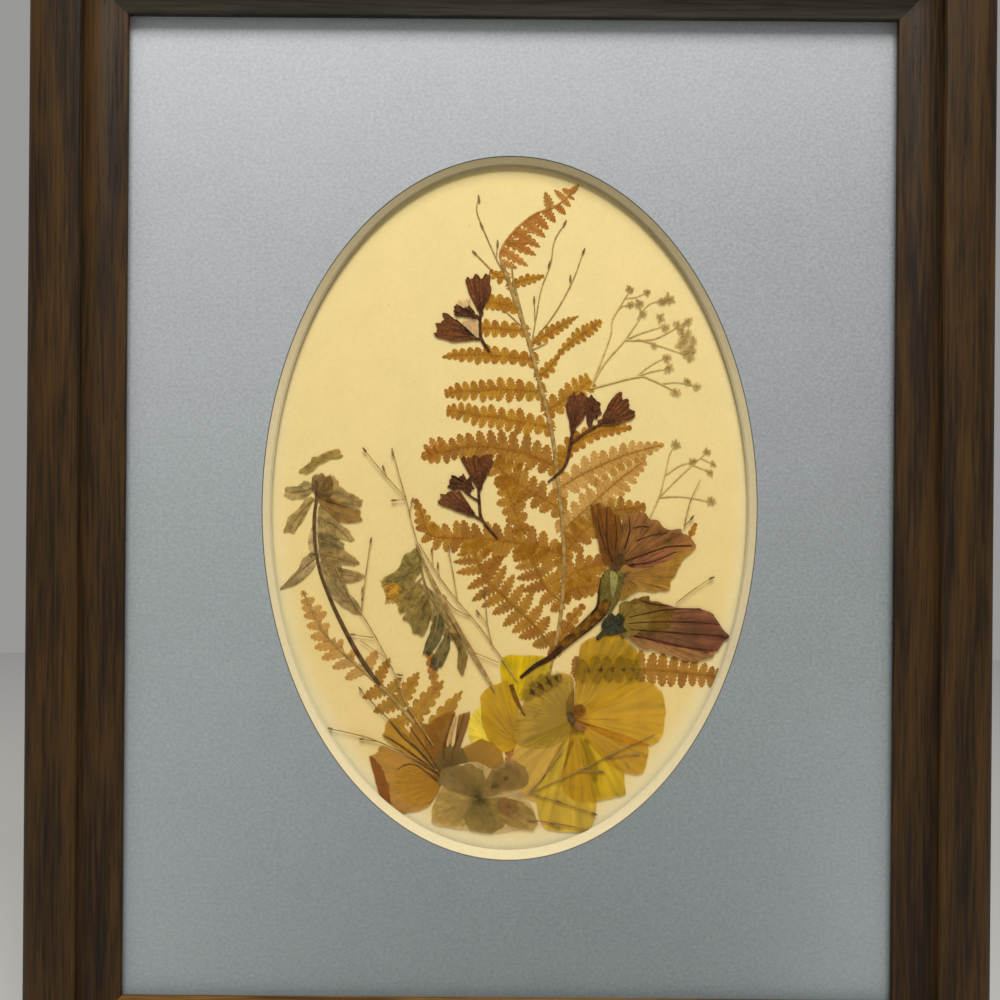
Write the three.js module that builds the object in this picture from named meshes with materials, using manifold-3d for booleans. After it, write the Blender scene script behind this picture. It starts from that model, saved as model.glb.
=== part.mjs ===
// A pressed flower picture: dried ferns, flowers and twigs laid on a cream card behind a
// window mat with an oval opening, under glass, in a mitred wooden frame that hangs on a wall.
// Millimetres, +Z up, the picture faces -Y. The origin is the hanging point on the wall.
import * as THREE from 'three';
import { mergeVertices } from 'three/addons/utils/BufferGeometryUtils.js';
import ManifoldModule from 'manifold-3d';

const wasm = await ManifoldModule();
wasm.setup();

const INCH = 25.4;

// Window mat, cut for an 8 x 10 in frame.
const MAT_W = 8 * INCH;
const MAT_H = 10 * INCH;
const MAT_T = 2.0;
const OVAL_W = 4.75 * INCH;
const OVAL_H = 6.75 * INCH;
const OVAL_SIDES = 64;

// Wooden moulding, measured across its face from the sight edge outwards.
const LIP = 0.375 * INCH;
const RAIL_W = 22;
const RAIL_D = 19;
const LIP_T = 2.2;
const SCOOP_W = 8.5;
const CROWN_DROP = 2.6;
const RABBET_PLAY = 0.5;
const MITRE_GAP = 0.03;

// Distances forward from the wall, back to front.
const RAIL_BACK = 3.0;
const RABBET_STOP = 15.0;
const GLASS_T = 2.0;
const CARD_T = 0.5;
const BOARD_T = 3.0;
const SPECIMEN_ROOM = 1.2;
const SEAT_GAP = 0.02;

// Steel hardware on the back.
const HANGER_L = 58;
const HANGER_H = 8;
const HANGER_T = 0.8;
const HANGER_FOOT = 9;
const HANGER_TOOTH = 3.2;
const NAIL_R = 0.6;
const NAIL_HEAD_R = 1.7;
const NAIL_L = 7;
const POINT_L = 9;
const POINT_W = 7;
const POINT_T = 0.4;
const FIT_GAP = 0.3;

// The plants lie on a layout grid counted right and down, with the oval's centre at
// (GRID_U, GRID_V). Each plant is a thin plate in one of a few layers in front of the card.
const GRID = 0.2462;
const GRID_U = 510;
const GRID_V = 508;
const LAYER_PITCH = 0.16;
const PLANT_T = 0.12;

const RABBET_W = MAT_W + 2 * RABBET_PLAY;
const RABBET_H = MAT_H + 2 * RABBET_PLAY;
const SIGHT_W = RABBET_W - 2 * LIP;
const SIGHT_H = RABBET_H - 2 * LIP;
const GLASS_BACK = RABBET_STOP - SEAT_GAP - GLASS_T;
const MAT_BACK = GLASS_BACK - SEAT_GAP - MAT_T;
const CARD_FRONT = MAT_BACK - SPECIMEN_ROOM;
const BOARD_FRONT = CARD_FRONT - CARD_T - SEAT_GAP;
const BOARD_BACK = BOARD_FRONT - BOARD_T;
const HANGER_Z = SIGHT_H / 2 + (LIP + RAIL_W) / 2;

const picture = new THREE.Group();
picture.position.z = -HANGER_Z;

const finish = (color, roughness, metalness = 0) =>
  new THREE.MeshStandardMaterial({ color, roughness, metalness });
const WOOD = finish(0x5a3a1c, 0.45);
const MAT_PAPER = finish(0x9fa8ac, 0.9);
const CARD = finish(0xecd796, 0.85);
const BOARD = finish(0x8a6b45, 0.95);
const STEEL = finish(0xb4b4b0, 0.35, 0.9);
const GLASS = new THREE.MeshStandardMaterial({
  color: 0xf4f8f6, roughness: 0.05, transparent: true, opacity: 0.2,
});
const FERN = finish(0xb0742a, 0.85);
const CORAL = finish(0x4a2018, 0.8);
const UMBEL = finish(0xa8935a, 0.85);
const LEAF = finish(0x6e6238, 0.85);
const MAUVE = finish(0x75452c, 0.8);
const YELLOW = finish(0xb58a22, 0.8);
const BROWN = finish(0x9a6526, 0.85);
const OLIVE = finish(0x766237, 0.85);
const TWIG = finish(0x6f5a32, 0.9);

function solidOf(geometry) {
  geometry.deleteAttribute('normal');
  geometry.deleteAttribute('uv');
  const merged = mergeVertices(geometry, 1e-5);
  return new wasm.Manifold(new wasm.Mesh({
    numProp: 3,
    vertProperties: new Float32Array(merged.attributes.position.array),
    triVerts: new Uint32Array(merged.index.array),
  }));
}

function geometryOf(solid) {
  const mesh = solid.getMesh();
  const geometry = new THREE.BufferGeometry();
  geometry.setAttribute('position', new THREE.BufferAttribute(new Float32Array(mesh.vertProperties), 3));
  geometry.setIndex(new THREE.BufferAttribute(new Uint32Array(mesh.triVerts), 1));
  geometry.computeVertexNormals();
  return geometry;
}

function add(name, solid, material) {
  const mesh = new THREE.Mesh(geometryOf(solid), material);
  mesh.name = name;
  picture.add(mesh);
}

// A flat outline in X and Z becomes a plate whose rear face is `back` mm from the wall.
function plate(outline, back, thickness) {
  const shape = new THREE.Shape(outline.map(([x, z]) => new THREE.Vector2(x, z)));
  const geometry = new THREE.ExtrudeGeometry(shape, { depth: thickness, bevelEnabled: false });
  geometry.rotateX(Math.PI / 2);
  geometry.translate(0, -back, 0);
  return solidOf(geometry);
}

function board(width, height, back, thickness) {
  const geometry = new THREE.BoxGeometry(width, thickness, height);
  geometry.translate(0, -back - thickness / 2, 0);
  return solidOf(geometry);
}

function pin(radius, length, x, front, z) {
  const geometry = new THREE.CylinderGeometry(radius, radius, length, 8);
  geometry.translate(x, -front + length / 2, z);
  return solidOf(geometry);
}

// ---- Wooden frame -------------------------------------------------------------------

// The moulding's section as (outwards, forwards): a rabbet behind, a thin lip at the sight
// edge, a scoop rising to the crown and a rounded back edge.
function mouldingSection() {
  const front = RAIL_BACK + RAIL_D;
  const edge = RABBET_STOP + LIP_T;
  const points = [[RAIL_W, RAIL_BACK], [LIP, RAIL_BACK], [LIP, RABBET_STOP], [0, RABBET_STOP]];
  points.push([0, edge - 0.5], [0.5, edge]);
  for (let i = 1; i <= 5; i += 1) {
    const turn = (i / 5) * (Math.PI / 2);
    const rise = front - 0.6 - edge;
    points.push([0.5 + SCOOP_W * Math.sin(turn), edge + rise * (1 - Math.cos(turn))]);
  }
  points.push([SCOOP_W + 1.3, front]);
  const shoulder = RAIL_W - 5;
  for (let i = 0; i <= 4; i += 1) {
    const turn = (i / 4) * (Math.PI / 2);
    points.push([shoulder + 5 * Math.sin(turn), front - CROWN_DROP * (1 - Math.cos(turn))]);
  }
  return points;
}

// Slots for the glazier's points and holes for the hanger's nails are cut by `cutters`.
function rail(halfSight, turns, cutters) {
  const shape = new THREE.Shape(mouldingSection().map(([u, v]) => new THREE.Vector2(u, v)));
  const geometry = new THREE.ExtrudeGeometry(shape, { depth: 1, bevelEnabled: false });
  const halfAcross = turns % 2 === 0 ? SIGHT_H / 2 : SIGHT_W / 2;
  const place = geometry.attributes.position;
  const vertex = new THREE.Vector3();
  for (let i = 0; i < place.count; i += 1) {
    vertex.fromBufferAttribute(place, i);
    const end = vertex.z < 0.5 ? 1 : -1;
    const along = end * (halfSight + vertex.x - MITRE_GAP);
    place.setXYZ(i, along, -vertex.y, -halfAcross - vertex.x);
  }
  geometry.rotateY(turns * Math.PI / 2);
  return cutters.reduce((solid, cutter) => solid.subtract(cutter), solidOf(geometry));
}

const pointPlaces = [
  { x: -45, z: RABBET_H / 2, angle: 0 },
  { x: 45, z: RABBET_H / 2, angle: 0 },
  { x: -45, z: -RABBET_H / 2, angle: Math.PI },
  { x: 45, z: -RABBET_H / 2, angle: Math.PI },
  { x: -RABBET_W / 2, z: 0, angle: Math.PI / 2 },
  { x: RABBET_W / 2, z: 0, angle: -Math.PI / 2 },
];

// A diamond of thin steel: half of it is pressed into the rail, half holds the board.
function glazierPoint({ x, z, angle }, grow) {
  const half = POINT_W / 2 + grow;
  const reach = POINT_L / 2 + grow;
  const corners = [[0, reach], [half, 0], [0, -reach], [-half, 0]];
  const outline = corners.map(([a, b]) => [
    x + a * Math.cos(angle) - b * Math.sin(angle),
    z + a * Math.sin(angle) + b * Math.cos(angle),
  ]);
  const back = BOARD_BACK - SEAT_GAP - POINT_T;
  return plate(outline, back - grow, POINT_T + 2 * grow);
}

const nailX = (HANGER_L - HANGER_FOOT) / 2;
const nailHoles = [-1, 1].map((side) => pin(NAIL_R + FIT_GAP, 16, side * nailX, RAIL_BACK + 8, HANGER_Z));
const slots = pointPlaces.map((where) => glazierPoint(where, FIT_GAP));
add('frame_rail_bottom', rail(SIGHT_W / 2, 0, [slots[2], slots[3]]), WOOD);
add('frame_rail_top', rail(SIGHT_W / 2, 2, [slots[0], slots[1], ...nailHoles]), WOOD);
add('frame_rail_left', rail(SIGHT_H / 2, 1, [slots[4]]), WOOD);
add('frame_rail_right', rail(SIGHT_H / 2, 3, [slots[5]]), WOOD);

// ---- Glass, mat, card and backing board ----------------------------------------------

// The bevel runs at 45 degrees, so the oval is smaller at the back by the mat's thickness.
function windowMat() {
  const oval = new THREE.Path();
  oval.absellipse(0, 0, OVAL_W / 2, OVAL_H / 2, 0, 2 * Math.PI, true);
  const w = MAT_W / 2;
  const h = MAT_H / 2;
  const sheet = new THREE.Shape([[-w, -h], [w, -h], [w, h], [-w, h]].map(([x, z]) => new THREE.Vector2(x, z)));
  sheet.holes.push(new THREE.Path(oval.getSpacedPoints(OVAL_SIDES).slice(0, -1)));
  const geometry = new THREE.ExtrudeGeometry(sheet, { depth: MAT_T, bevelEnabled: false });
  const place = geometry.attributes.position;
  for (let i = 0; i < place.count; i += 1) {
    const x = place.getX(i);
    const z = place.getY(i);
    if (place.getZ(i) < MAT_T / 2 && Math.abs(x) < w - 1) {
      place.setXY(i, x * (1 - (2 * MAT_T) / OVAL_W), z * (1 - (2 * MAT_T) / OVAL_H));
    }
  }
  geometry.rotateX(Math.PI / 2);
  geometry.translate(0, -MAT_BACK, 0);
  return solidOf(geometry);
}

add('glass_pane', board(MAT_W, MAT_H, GLASS_BACK, GLASS_T), GLASS);
add('window_mat', windowMat(), MAT_PAPER);
add('mount_card', board(MAT_W, MAT_H, CARD_FRONT - CARD_T, CARD_T), CARD);
add('backing_board', board(MAT_W, MAT_H, BOARD_BACK, BOARD_T), BOARD);

// ---- Hardware on the back --------------------------------------------------------------

pointPlaces.forEach((where, i) => add(`glazier_point_${i + 1}`, glazierPoint(where, 0), STEEL));

// A bent steel strip: two feet lie on the rail and the toothed middle stands off it.
function sawtoothHanger() {
  const end = HANGER_L / 2;
  const knee = end - HANGER_FOOT;
  const foot = RAIL_BACK - SEAT_GAP;
  const side = [
    [-end, foot], [-knee, foot], [-knee + 2, HANGER_T], [knee - 2, HANGER_T], [knee, foot], [end, foot],
    [end, foot - HANGER_T], [knee + 0.6, foot - HANGER_T], [knee - 1.4, 0],
    [-knee + 1.4, 0], [-knee - 0.6, foot - HANGER_T], [-end, foot - HANGER_T],
  ];
  const shape = new THREE.Shape(side.map(([x, v]) => new THREE.Vector2(x, -v)));
  const strip = new THREE.ExtrudeGeometry(shape, { depth: HANGER_H, bevelEnabled: false });
  strip.translate(0, 0, HANGER_Z - HANGER_H / 2);
  let solid = solidOf(strip);
  const low = HANGER_Z - HANGER_H / 2;
  for (let x = -4.5 * HANGER_TOOTH; x < 5 * HANGER_TOOTH; x += HANGER_TOOTH) {
    const notch = [[x - 1.3, low - 1], [x + 1.3, low - 1], [x, low + 2.2]];
    solid = solid.subtract(plate(notch, -1, HANGER_T + 2));
  }
  return nailHoles.reduce((left, hole) => left.subtract(hole), solid);
}

// A round-headed nail whose shank goes through the hanger's foot into the top rail.
function hangerNail(side) {
  const seat = RAIL_BACK - SEAT_GAP - HANGER_T - SEAT_GAP;
  const head = pin(NAIL_HEAD_R, 0.7, side * nailX, seat, HANGER_Z);
  return head.add(pin(NAIL_R, NAIL_L, side * nailX, seat + NAIL_L - 0.2, HANGER_Z));
}

add('sawtooth_hanger', sawtoothHanger(), STEEL);
add('hanger_nail_left', hangerNail(-1), STEEL);
add('hanger_nail_right', hangerNail(1), STEEL);

// ---- Pressed plants --------------------------------------------------------------------

const onCard = ([u, v]) => [(u - GRID_U) * GRID, (GRID_V - v) * GRID];

function pressed(outline, layer) {
  return plate(outline.map(onCard), CARD_FRONT + SEAT_GAP + layer * LAYER_PITCH, PLANT_T);
}

// Places and directions at equal steps along a smooth line through `path`.
function walk(path, steps) {
  const curve = new THREE.SplineCurve(path.map(([u, v]) => new THREE.Vector2(u, v)));
  return Array.from({ length: steps + 1 }, (_, i) => {
    const at = curve.getPointAt(i / steps);
    const ahead = curve.getTangentAt(i / steps);
    return { u: at.x, v: at.y, du: ahead.x, dv: ahead.y };
  });
}

// Places and directions at the points of `path` themselves.
function bends(path) {
  return path.map(([u, v], i) => {
    const [u0, v0] = path[Math.max(0, i - 1)];
    const [u1, v1] = path[Math.min(path.length - 1, i + 1)];
    const length = Math.hypot(u1 - u0, v1 - v0);
    return { u, v, du: (u1 - u0) / length, dv: (v1 - v0) / length };
  });
}

const beside = ({ u, v, du, dv }, off, on = 0) => [u - dv * off + du * on, v + du * off + dv * on];

// A stem: a flat strip that tapers from `wide` to `thin` along its path.
function stem(path, wide, thin = wide) {
  const stops = bends(path);
  const width = (i) => (wide + ((thin - wide) * i) / (stops.length - 1)) / 2;
  const right = stops.map((stop, i) => beside(stop, width(i)));
  const left = stops.map((stop, i) => beside(stop, -width(i)));
  return [...right, ...left.reverse()];
}

// A fern pinna: a midrib with pointed lobes on both sides, longest near the base.
function pinna(path, half, lobes) {
  const stops = walk(path, lobes * 2);
  const side = (sign) => {
    const edge = [];
    for (let i = 0; i < lobes; i += 1) {
      const left = 1 - i / lobes;
      const reach = half * Math.min(1, 0.2 + 1.15 * left);
      edge.push(beside(stops[2 * i], sign * Math.max(0.9, 0.22 * reach)));
      edge.push(beside(stops[2 * i + 1], sign * reach, half * 0.25));
    }
    return edge;
  };
  return [...side(1), [stops[lobes * 2].u, stops[lobes * 2].v], ...side(-1).reverse()];
}

// A rounded lobe of a leaf or petal: blunt at the tip, narrower at the base.
function lobe(path, half) {
  const stops = walk(path, 3);
  const profile = [0.75, 1, 0.95, 0.4];
  const right = stops.map((stop, i) => beside(stop, half * profile[i]));
  const left = stops.map((stop, i) => beside(stop, -half * profile[i]));
  return [...right, ...left.reverse()];
}

function bud(u, v, degrees, length, width, corners) {
  const turn = (degrees * Math.PI) / 180;
  return Array.from({ length: corners }, (_, i) => {
    const around = (i / corners) * 2 * Math.PI;
    const a = (Math.cos(around) * length) / 2;
    const b = (Math.sin(around) * width) / 2;
    return [u + a * Math.cos(turn) - b * Math.sin(turn), v - a * Math.sin(turn) - b * Math.cos(turn)];
  });
}

function specimen(name, layer, material, outlines) {
  const plates = outlines.map((outline) => pressed(outline, layer));
  add(name, plates.reduce((whole, part) => whole.add(part)), material);
}

// The main fern frond: its rachis curls over at the tip and fades out under the yellow flower.
const FROND_RACHIS = [
  [575, 186], [553, 206], [531, 215], [510, 234], [499, 253], [505, 275], [514, 300], [527, 338],
  [537, 375], [546, 408], [553, 440], [558, 478], [563, 525], [565, 565], [563, 605], [558, 640],
  [552, 668], [545, 700], [536, 719],
];
const FROND_PINNAE = [
  [[[569, 193], [560, 190]], 3, 1], [[[563, 199], [552, 191]], 3, 1], [[[548, 209], [543, 192]], 5, 2],
  [[[561, 200], [569, 206]], 3, 1], [[[553, 206], [563, 213]], 4, 1],
  [[[537, 212], [553, 222]], 5, 2], [[[528, 217], [547, 229]], 5, 3], [[[517, 227], [544, 237]], 6, 3],
  [[[506, 240], [520, 242], [539, 247]], 6, 3], [[[500, 251], [515, 254], [535, 254]], 6, 3],
  [[[500, 261], [512, 265], [527, 265]], 5, 3],
  [[[505, 275], [490, 273]], 9, 2], [[[508, 286], [520, 280], [541, 277]], 6, 4],
  [[[515, 308], [500, 303], [486, 301]], 9, 3], [[[525, 331], [500, 329], [481, 328]], 9, 4],
  [[[533, 360], [500, 356], [470, 354], [444, 357]], 9, 7],
  [[[541, 391], [510, 389], [480, 390], [447, 393]], 13, 7],
  [[[550, 427], [520, 421], [490, 417], [450, 411]], 13, 7],
  [[[557, 465], [530, 455], [505, 449], [480, 446], [455, 449], [424, 455]], 14, 8],
  [[[561, 508], [535, 493], [510, 477], [495, 464]], 16, 6],
  [[[522, 530], [512, 502], [503, 478]], 14, 4],
  [[[564, 556], [540, 546], [500, 540], [460, 538], [432, 536], [424, 520], [417, 502]], 17, 9],
  [[[432, 537], [420, 536], [407, 533]], 6, 2],
  [[[557, 652], [530, 619], [507, 598], [487, 578], [478, 560], [472, 545]], 27, 7],
  [[[564, 602], [548, 588], [536, 566], [524, 548]], 22, 4],
  [[[530, 344], [548, 331], [575, 317]], 7, 4], [[[537, 376], [556, 357], [575, 336], [597, 323]], 8, 5],
  [[[546, 410], [565, 396], [586, 382]], 15, 4], [[[557, 470], [570, 445], [600, 429], [628, 427]], 9, 5],
  [[[559, 488], [585, 472], [620, 456], [660, 445]], 14, 7],
  [[[563, 530], [590, 505], [620, 478], [642, 462]], 16, 5],
  [[[565, 552], [590, 525], [615, 510], [642, 506]], 16, 4],
  [[[565, 578], [582, 568], [604, 564]], 17, 4], [[[565, 592], [580, 585], [604, 584]], 13, 3],
  [[[558, 646], [568, 625], [582, 606]], 9, 3], [[[556, 650], [547, 652], [538, 652]], 4, 1],
];
specimen('fern_frond', 0, FERN, [
  stem(FROND_RACHIS, 2, 4.5),
  ...FROND_PINNAE.map(([path, half, lobes]) => pinna(path, half, lobes)),
]);

// A paler fern sprig that rises to the left, its lower lobes toothed and fanned.
const LEFT_SPRIG = [
  [304, 592], [313, 611], [324, 632], [343, 652], [370, 676], [400, 705], [430, 742], [443, 773],
];
const LEFT_SPRIG_LOBES = [
  [[310, 603], [303, 603], 3], [[313, 610], [304, 609], 3], [[317, 617], [305, 616], 4],
  [[323, 627], [309, 626], 4], [[329, 636], [313, 636], 4], [[338, 645], [317, 648], 4],
  [[346, 652], [324, 659], 5], [[356, 660], [334, 668], 5], [[364, 667], [346, 678], 5],
  [[387, 689], [365, 698], 7], [[401, 702], [376, 712], 8], [[415, 716], [391, 726], 8],
  [[309, 603], [315, 601], 3], [[314, 614], [322, 608], 4], [[318, 621], [326, 614], 4],
  [[323, 630], [330, 626], 3], [[366, 673], [379, 652], 5], [[377, 682], [391, 658], 6],
  [[400, 705], [420, 673], 9], [[413, 720], [445, 681], 10], [[427, 738], [463, 692], 9],
];
specimen('fern_sprig_left', 0, FERN, [
  stem(LEFT_SPRIG, 2, 4),
  ...LEFT_SPRIG_LOBES.map(([base, tip, half]) => pinna([base, tip], half, Math.ceil(half / 4))),
]);

specimen('fern_sprig_right', 0, FERN, [
  stem([[580, 672], [620, 668], [670, 670], [715, 674]], 3),
  pinna([[580, 672], [620, 668], [670, 670], [719, 675]], 19, 12),
]);
specimen('fern_scrap_upper', 0, FERN, [lobe([[386, 592], [402, 588]], 8)]);
specimen('fern_scrap_lower', 1, FERN, [pinna([[431, 655], [434, 668], [436, 687]], 7, 3)]);
specimen('fern_scrap_foot', 0, FERN, [pinna([[516, 735], [513, 752], [509, 772]], 8, 3)]);

// Coral-bell sprigs: dark funnel flowers with scalloped mouths on thin wiry stems.
specimen('coral_bell_sprig_top', 2, CORAL, [
  [
    [464, 280], [469, 279], [476, 274], [482, 278], [485, 275], [489, 276], [489, 298], [483, 309],
    [480, 315], [476, 310], [467, 297], [466, 288],
  ],
  [
    [434, 334], [436, 331], [435, 327], [443, 321], [441, 317], [444, 313], [450, 318], [459, 322],
    [470, 334], [480, 338], [470, 341], [455, 342], [436, 337],
  ],
  [[454, 308], [458, 307], [466, 310], [471, 309], [480, 317], [480, 320], [468, 318], [455, 315]],
  stem([[480, 312], [479, 325], [480, 337], [484, 345], [489, 351]], 3),
]);
specimen('coral_bell_sprig_right', 2, CORAL, [
  [
    [571, 394], [573, 391], [577, 395], [581, 391], [586, 397], [586, 412], [582, 420], [573, 431],
    [570, 430], [569, 420], [566, 412], [566, 402],
  ],
  [[585, 399], [592, 396], [596, 400], [600, 408], [597, 412], [591, 429], [588, 429], [586, 409]],
  [
    [617, 392], [622, 393], [621, 397], [629, 400], [628, 406], [635, 413], [632, 418], [611, 425],
    [598, 424], [604, 412], [610, 400],
  ],
  stem([[572, 429], [571, 440], [565, 465], [548, 482]], 3.5, 2),
  stem([[600, 423], [585, 432], [570, 442]], 3),
]);
specimen('coral_bell_sprig_left', 2, CORAL, [
  [
    [461, 459], [468, 459], [475, 455], [480, 458], [488, 454], [492, 456], [492, 465], [488, 475],
    [479, 491], [469, 474],
  ],
  [[450, 482], [453, 477], [463, 480], [467, 478], [471, 482], [471, 490], [463, 492], [449, 489]],
  [
    [438, 502], [442, 498], [441, 495], [455, 491], [461, 492], [472, 508], [477, 517], [468, 516],
    [445, 507],
  ],
  stem([[479, 489], [480, 505], [483, 520], [498, 538]], 3), stem([[474, 515], [484, 521]], 3),
  stem([[464, 490], [472, 497], [481, 501]], 3),
]);

// Umbel sprigs: hair-thin rays ending in small clusters of florets.
const UPPER_UMBEL_RAYS = [
  [[590, 388], [609, 337], [612, 318], [629, 289]],
  [[590, 388], [603, 364], [624, 339], [641, 314]],
  [[590, 388], [636, 376], [650, 378], [675, 390]], [[611, 318], [620, 306], [629, 304]],
  [[623, 297], [634, 296], [646, 291]], [[636, 318], [648, 303], [667, 298]],
  [[630, 300], [638, 306], [642, 312]], [[624, 339], [640, 332], [662, 325]],
  [[624, 339], [655, 337], [688, 318]], [[636, 338], [654, 343], [690, 355]],
  [[636, 375], [650, 364], [667, 355]], [[636, 375], [652, 370], [669, 367]],
  [[662, 382], [678, 381], [696, 385]], [[658, 325], [659, 317]], [[676, 325], [686, 337]],
];
const UPPER_UMBEL_FLORETS = [
  [629, 289, 7], [646, 291, 6], [667, 298, 9], [629, 304, 6], [638, 303, 8], [659, 316, 7],
  [664, 326, 7], [687, 320, 7], [685, 335, 10], [689, 355, 9], [666, 356, 7], [668, 367, 7],
  [687, 380, 6], [696, 385, 6], [675, 391, 7], [653, 344, 5], [642, 312, 6],
];
const LOWER_UMBEL_RAYS = [
  [[650, 517], [660, 494], [665, 474], [670, 452], [676, 443]], [[659, 496], [683, 472], [707, 450]],
  [[659, 496], [683, 495], [711, 500]], [[665, 474], [680, 464], [694, 460]],
  [[692, 463], [710, 470]], [[700, 456], [713, 462]],
];
const LOWER_UMBEL_FLORETS = [
  [676, 443, 7], [707, 450, 6], [693, 460, 6], [713, 462, 5], [710, 471, 6], [711, 500, 7],
];
const umbel = (rays, florets) => [
  ...rays.map((path) => stem(path, 2)),
  ...florets.map(([u, v, across]) => bud(u, v, 30, across * 1.5, across * 1.3, 4)),
];
specimen('umbel_sprig_upper', 1, UMBEL, umbel(UPPER_UMBEL_RAYS, UPPER_UMBEL_FLORETS));
specimen('umbel_sprig_lower', 1, UMBEL, umbel(LOWER_UMBEL_RAYS, LOWER_UMBEL_FLORETS));

// Lobed grey-olive leaves, the left one on a dark stem, with a broken piece above it.
specimen('lobed_leaf_left', 1, LEAF, [
  stem([[317, 484], [315, 520], [317, 550], [324, 577], [340, 618], [360, 655], [382, 685]], 4, 7),
  lobe([[317, 482], [300, 487], [285, 494]], 9), lobe([[316, 500], [302, 515], [288, 534]], 9),
  lobe([[320, 560], [300, 570], [281, 589]], 9), lobe([[316, 480], [328, 478], [340, 490]], 7),
  lobe([[318, 488], [340, 493], [363, 503]], 10), lobe([[318, 492], [340, 512], [363, 519]], 11),
  lobe([[316, 520], [335, 530], [355, 541]], 10), lobe([[317, 540], [330, 544], [343, 549]], 9),
  lobe([[320, 548], [340, 557], [360, 564]], 9), lobe([[323, 566], [345, 572], [366, 578]], 9),
  lobe([[321, 562], [335, 590], [361, 614]], 11),
]);
specimen('lobed_leaf_fragment', 1, LEAF, [[
  [300, 471], [308, 465], [318, 457], [330, 452], [339, 450], [343, 457], [330, 461], [320, 466],
  [312, 473], [303, 475],
]]);
specimen('lobed_leaf_middle', 2, LEAF, [[
  [414, 551], [408, 553], [401, 568], [384, 580], [386, 586], [398, 586], [400, 610], [409, 612],
  [423, 600], [405, 618], [407, 624], [414, 633], [421, 636], [432, 622], [425, 650], [433, 655],
  [443, 643], [434, 660], [441, 670], [447, 664], [453, 647], [461, 672], [465, 674], [469, 655],
  [452, 630], [440, 608], [425, 580], [420, 560],
]]);

// Petals of two yellow flowers; the right-hand one opens from a dark eye.
specimen('yellow_petals_left', 1, YELLOW, [[
  [500, 657], [530, 655], [548, 660], [534, 690], [520, 705], [515, 725], [520, 745], [512, 752],
  [490, 740], [472, 740], [470, 728], [474, 714], [482, 708], [483, 690], [500, 684],
]]);
specimen('yellow_flower', 2, YELLOW, [[
  [574, 712], [577, 680], [578, 668], [583, 650], [600, 640], [618, 634], [640, 648], [641, 668],
  [660, 688], [667, 705], [663, 735], [650, 745], [650, 760], [641, 773], [626, 770], [628, 793],
  [600, 800], [598, 813], [592, 825], [565, 832], [543, 824], [535, 795], [520, 790], [516, 722],
  [522, 705], [540, 682], [550, 676], [562, 680], [572, 700],
]]);

// A brown flower seen from the side and a grey-olive flower pressed over its foot.
specimen('brown_flower', 2, BROWN, [
  [
    [372, 757], [384, 740], [390, 722], [394, 717], [412, 728], [430, 722], [436, 716], [452, 711],
    [459, 716], [471, 713], [471, 722], [464, 745], [473, 756], [468, 770], [450, 790], [436, 808],
    [410, 812], [398, 813], [384, 798],
  ],
  [[462, 752], [472, 744], [484, 738], [496, 746], [505, 757], [500, 768], [486, 771], [466, 766]],
]);
specimen('grey_flower', 3, OLIVE, [[
  [434, 812], [444, 825], [465, 824], [478, 831], [490, 832], [508, 822], [530, 828], [541, 820],
  [530, 798], [510, 790], [528, 783], [531, 775], [520, 760], [498, 765], [490, 772], [472, 762],
  [458, 775], [445, 795],
]]);

// Two mauve-brown flowers, the upper one on a broad flattened stem.
specimen('mauve_flower_upper', 3, MAUVE, [
  [
    [590, 510], [593, 504], [611, 508], [626, 518], [629, 512], [650, 516], [667, 527], [684, 529],
    [697, 545], [681, 560], [667, 588], [632, 592], [617, 602], [612, 612], [600, 610], [599, 590],
    [607, 570], [596, 540],
  ],
  [
    [599, 600], [612, 608], [590, 636], [562, 655], [551, 661], [523, 677], [522, 674], [550, 654],
    [562, 645], [585, 628],
  ],
]);
specimen('mauve_flower_lower', 4, MAUVE, [
  [
    [618, 602], [645, 594], [672, 604], [701, 606], [718, 616], [728, 633], [718, 650], [712, 656],
    [688, 660], [655, 648], [634, 643], [618, 636],
  ],
  [[622, 609], [624, 634], [607, 631], [597, 638], [602, 628], [612, 611]],
]);
specimen('stem_stub', 3, TWIG, [stem([[514, 684], [518, 698], [526, 714]], 4, 2)]);

// Budded grass twigs: hair-thin stems with a dark bud at each end.
const TWIG_WIDTH = 2.2;
function twig(name, layer, stems, buds) {
  specimen(name, layer, TWIG, [
    ...stems.map((path) => stem(path, TWIG_WIDTH)),
    ...buds.map(([u, v, degrees]) => bud(u, v, degrees, 9, 3.4, 4)),
  ]);
}
twig('twig_top_left', 1, [
  [[477, 198], [475, 211], [482, 230], [495, 259], [502, 272]], [[496, 242], [495, 259]],
], [[477, 200, 85], [496, 244, 90]]);
twig('twig_top_left_low', 1, [[[472, 252], [481, 261], [490, 270]]], [[473, 253, -45]]);
twig('twig_top_right', 1, [
  [[564, 222], [553, 240], [549, 264], [540, 289], [535, 318], [531, 342]],
  [[582, 250], [571, 281], [553, 314], [531, 342]], [[569, 277], [569, 287]],
  [[533, 298], [534, 322]], [[547, 342], [531, 349], [531, 340]],
], [[563, 223, 65], [548, 265, 75], [582, 251, 70], [569, 279, 90], [533, 301, 90]]);
twig('twig_long', 5, [
  [[393, 451], [401, 480], [407, 500], [414, 528], [424, 560], [438, 592], [457, 626], [477, 660], [497, 690]],
  [[364, 450], [384, 474], [406, 498]], [[384, 467], [387, 477]], [[394, 501], [407, 500]],
  [[413, 500], [410, 514]], [[471, 650], [501, 662]],
], [[365, 451, -50], [393, 453, -80], [384, 469, -70], [395, 501, 5], [413, 501, 70]]);
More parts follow.
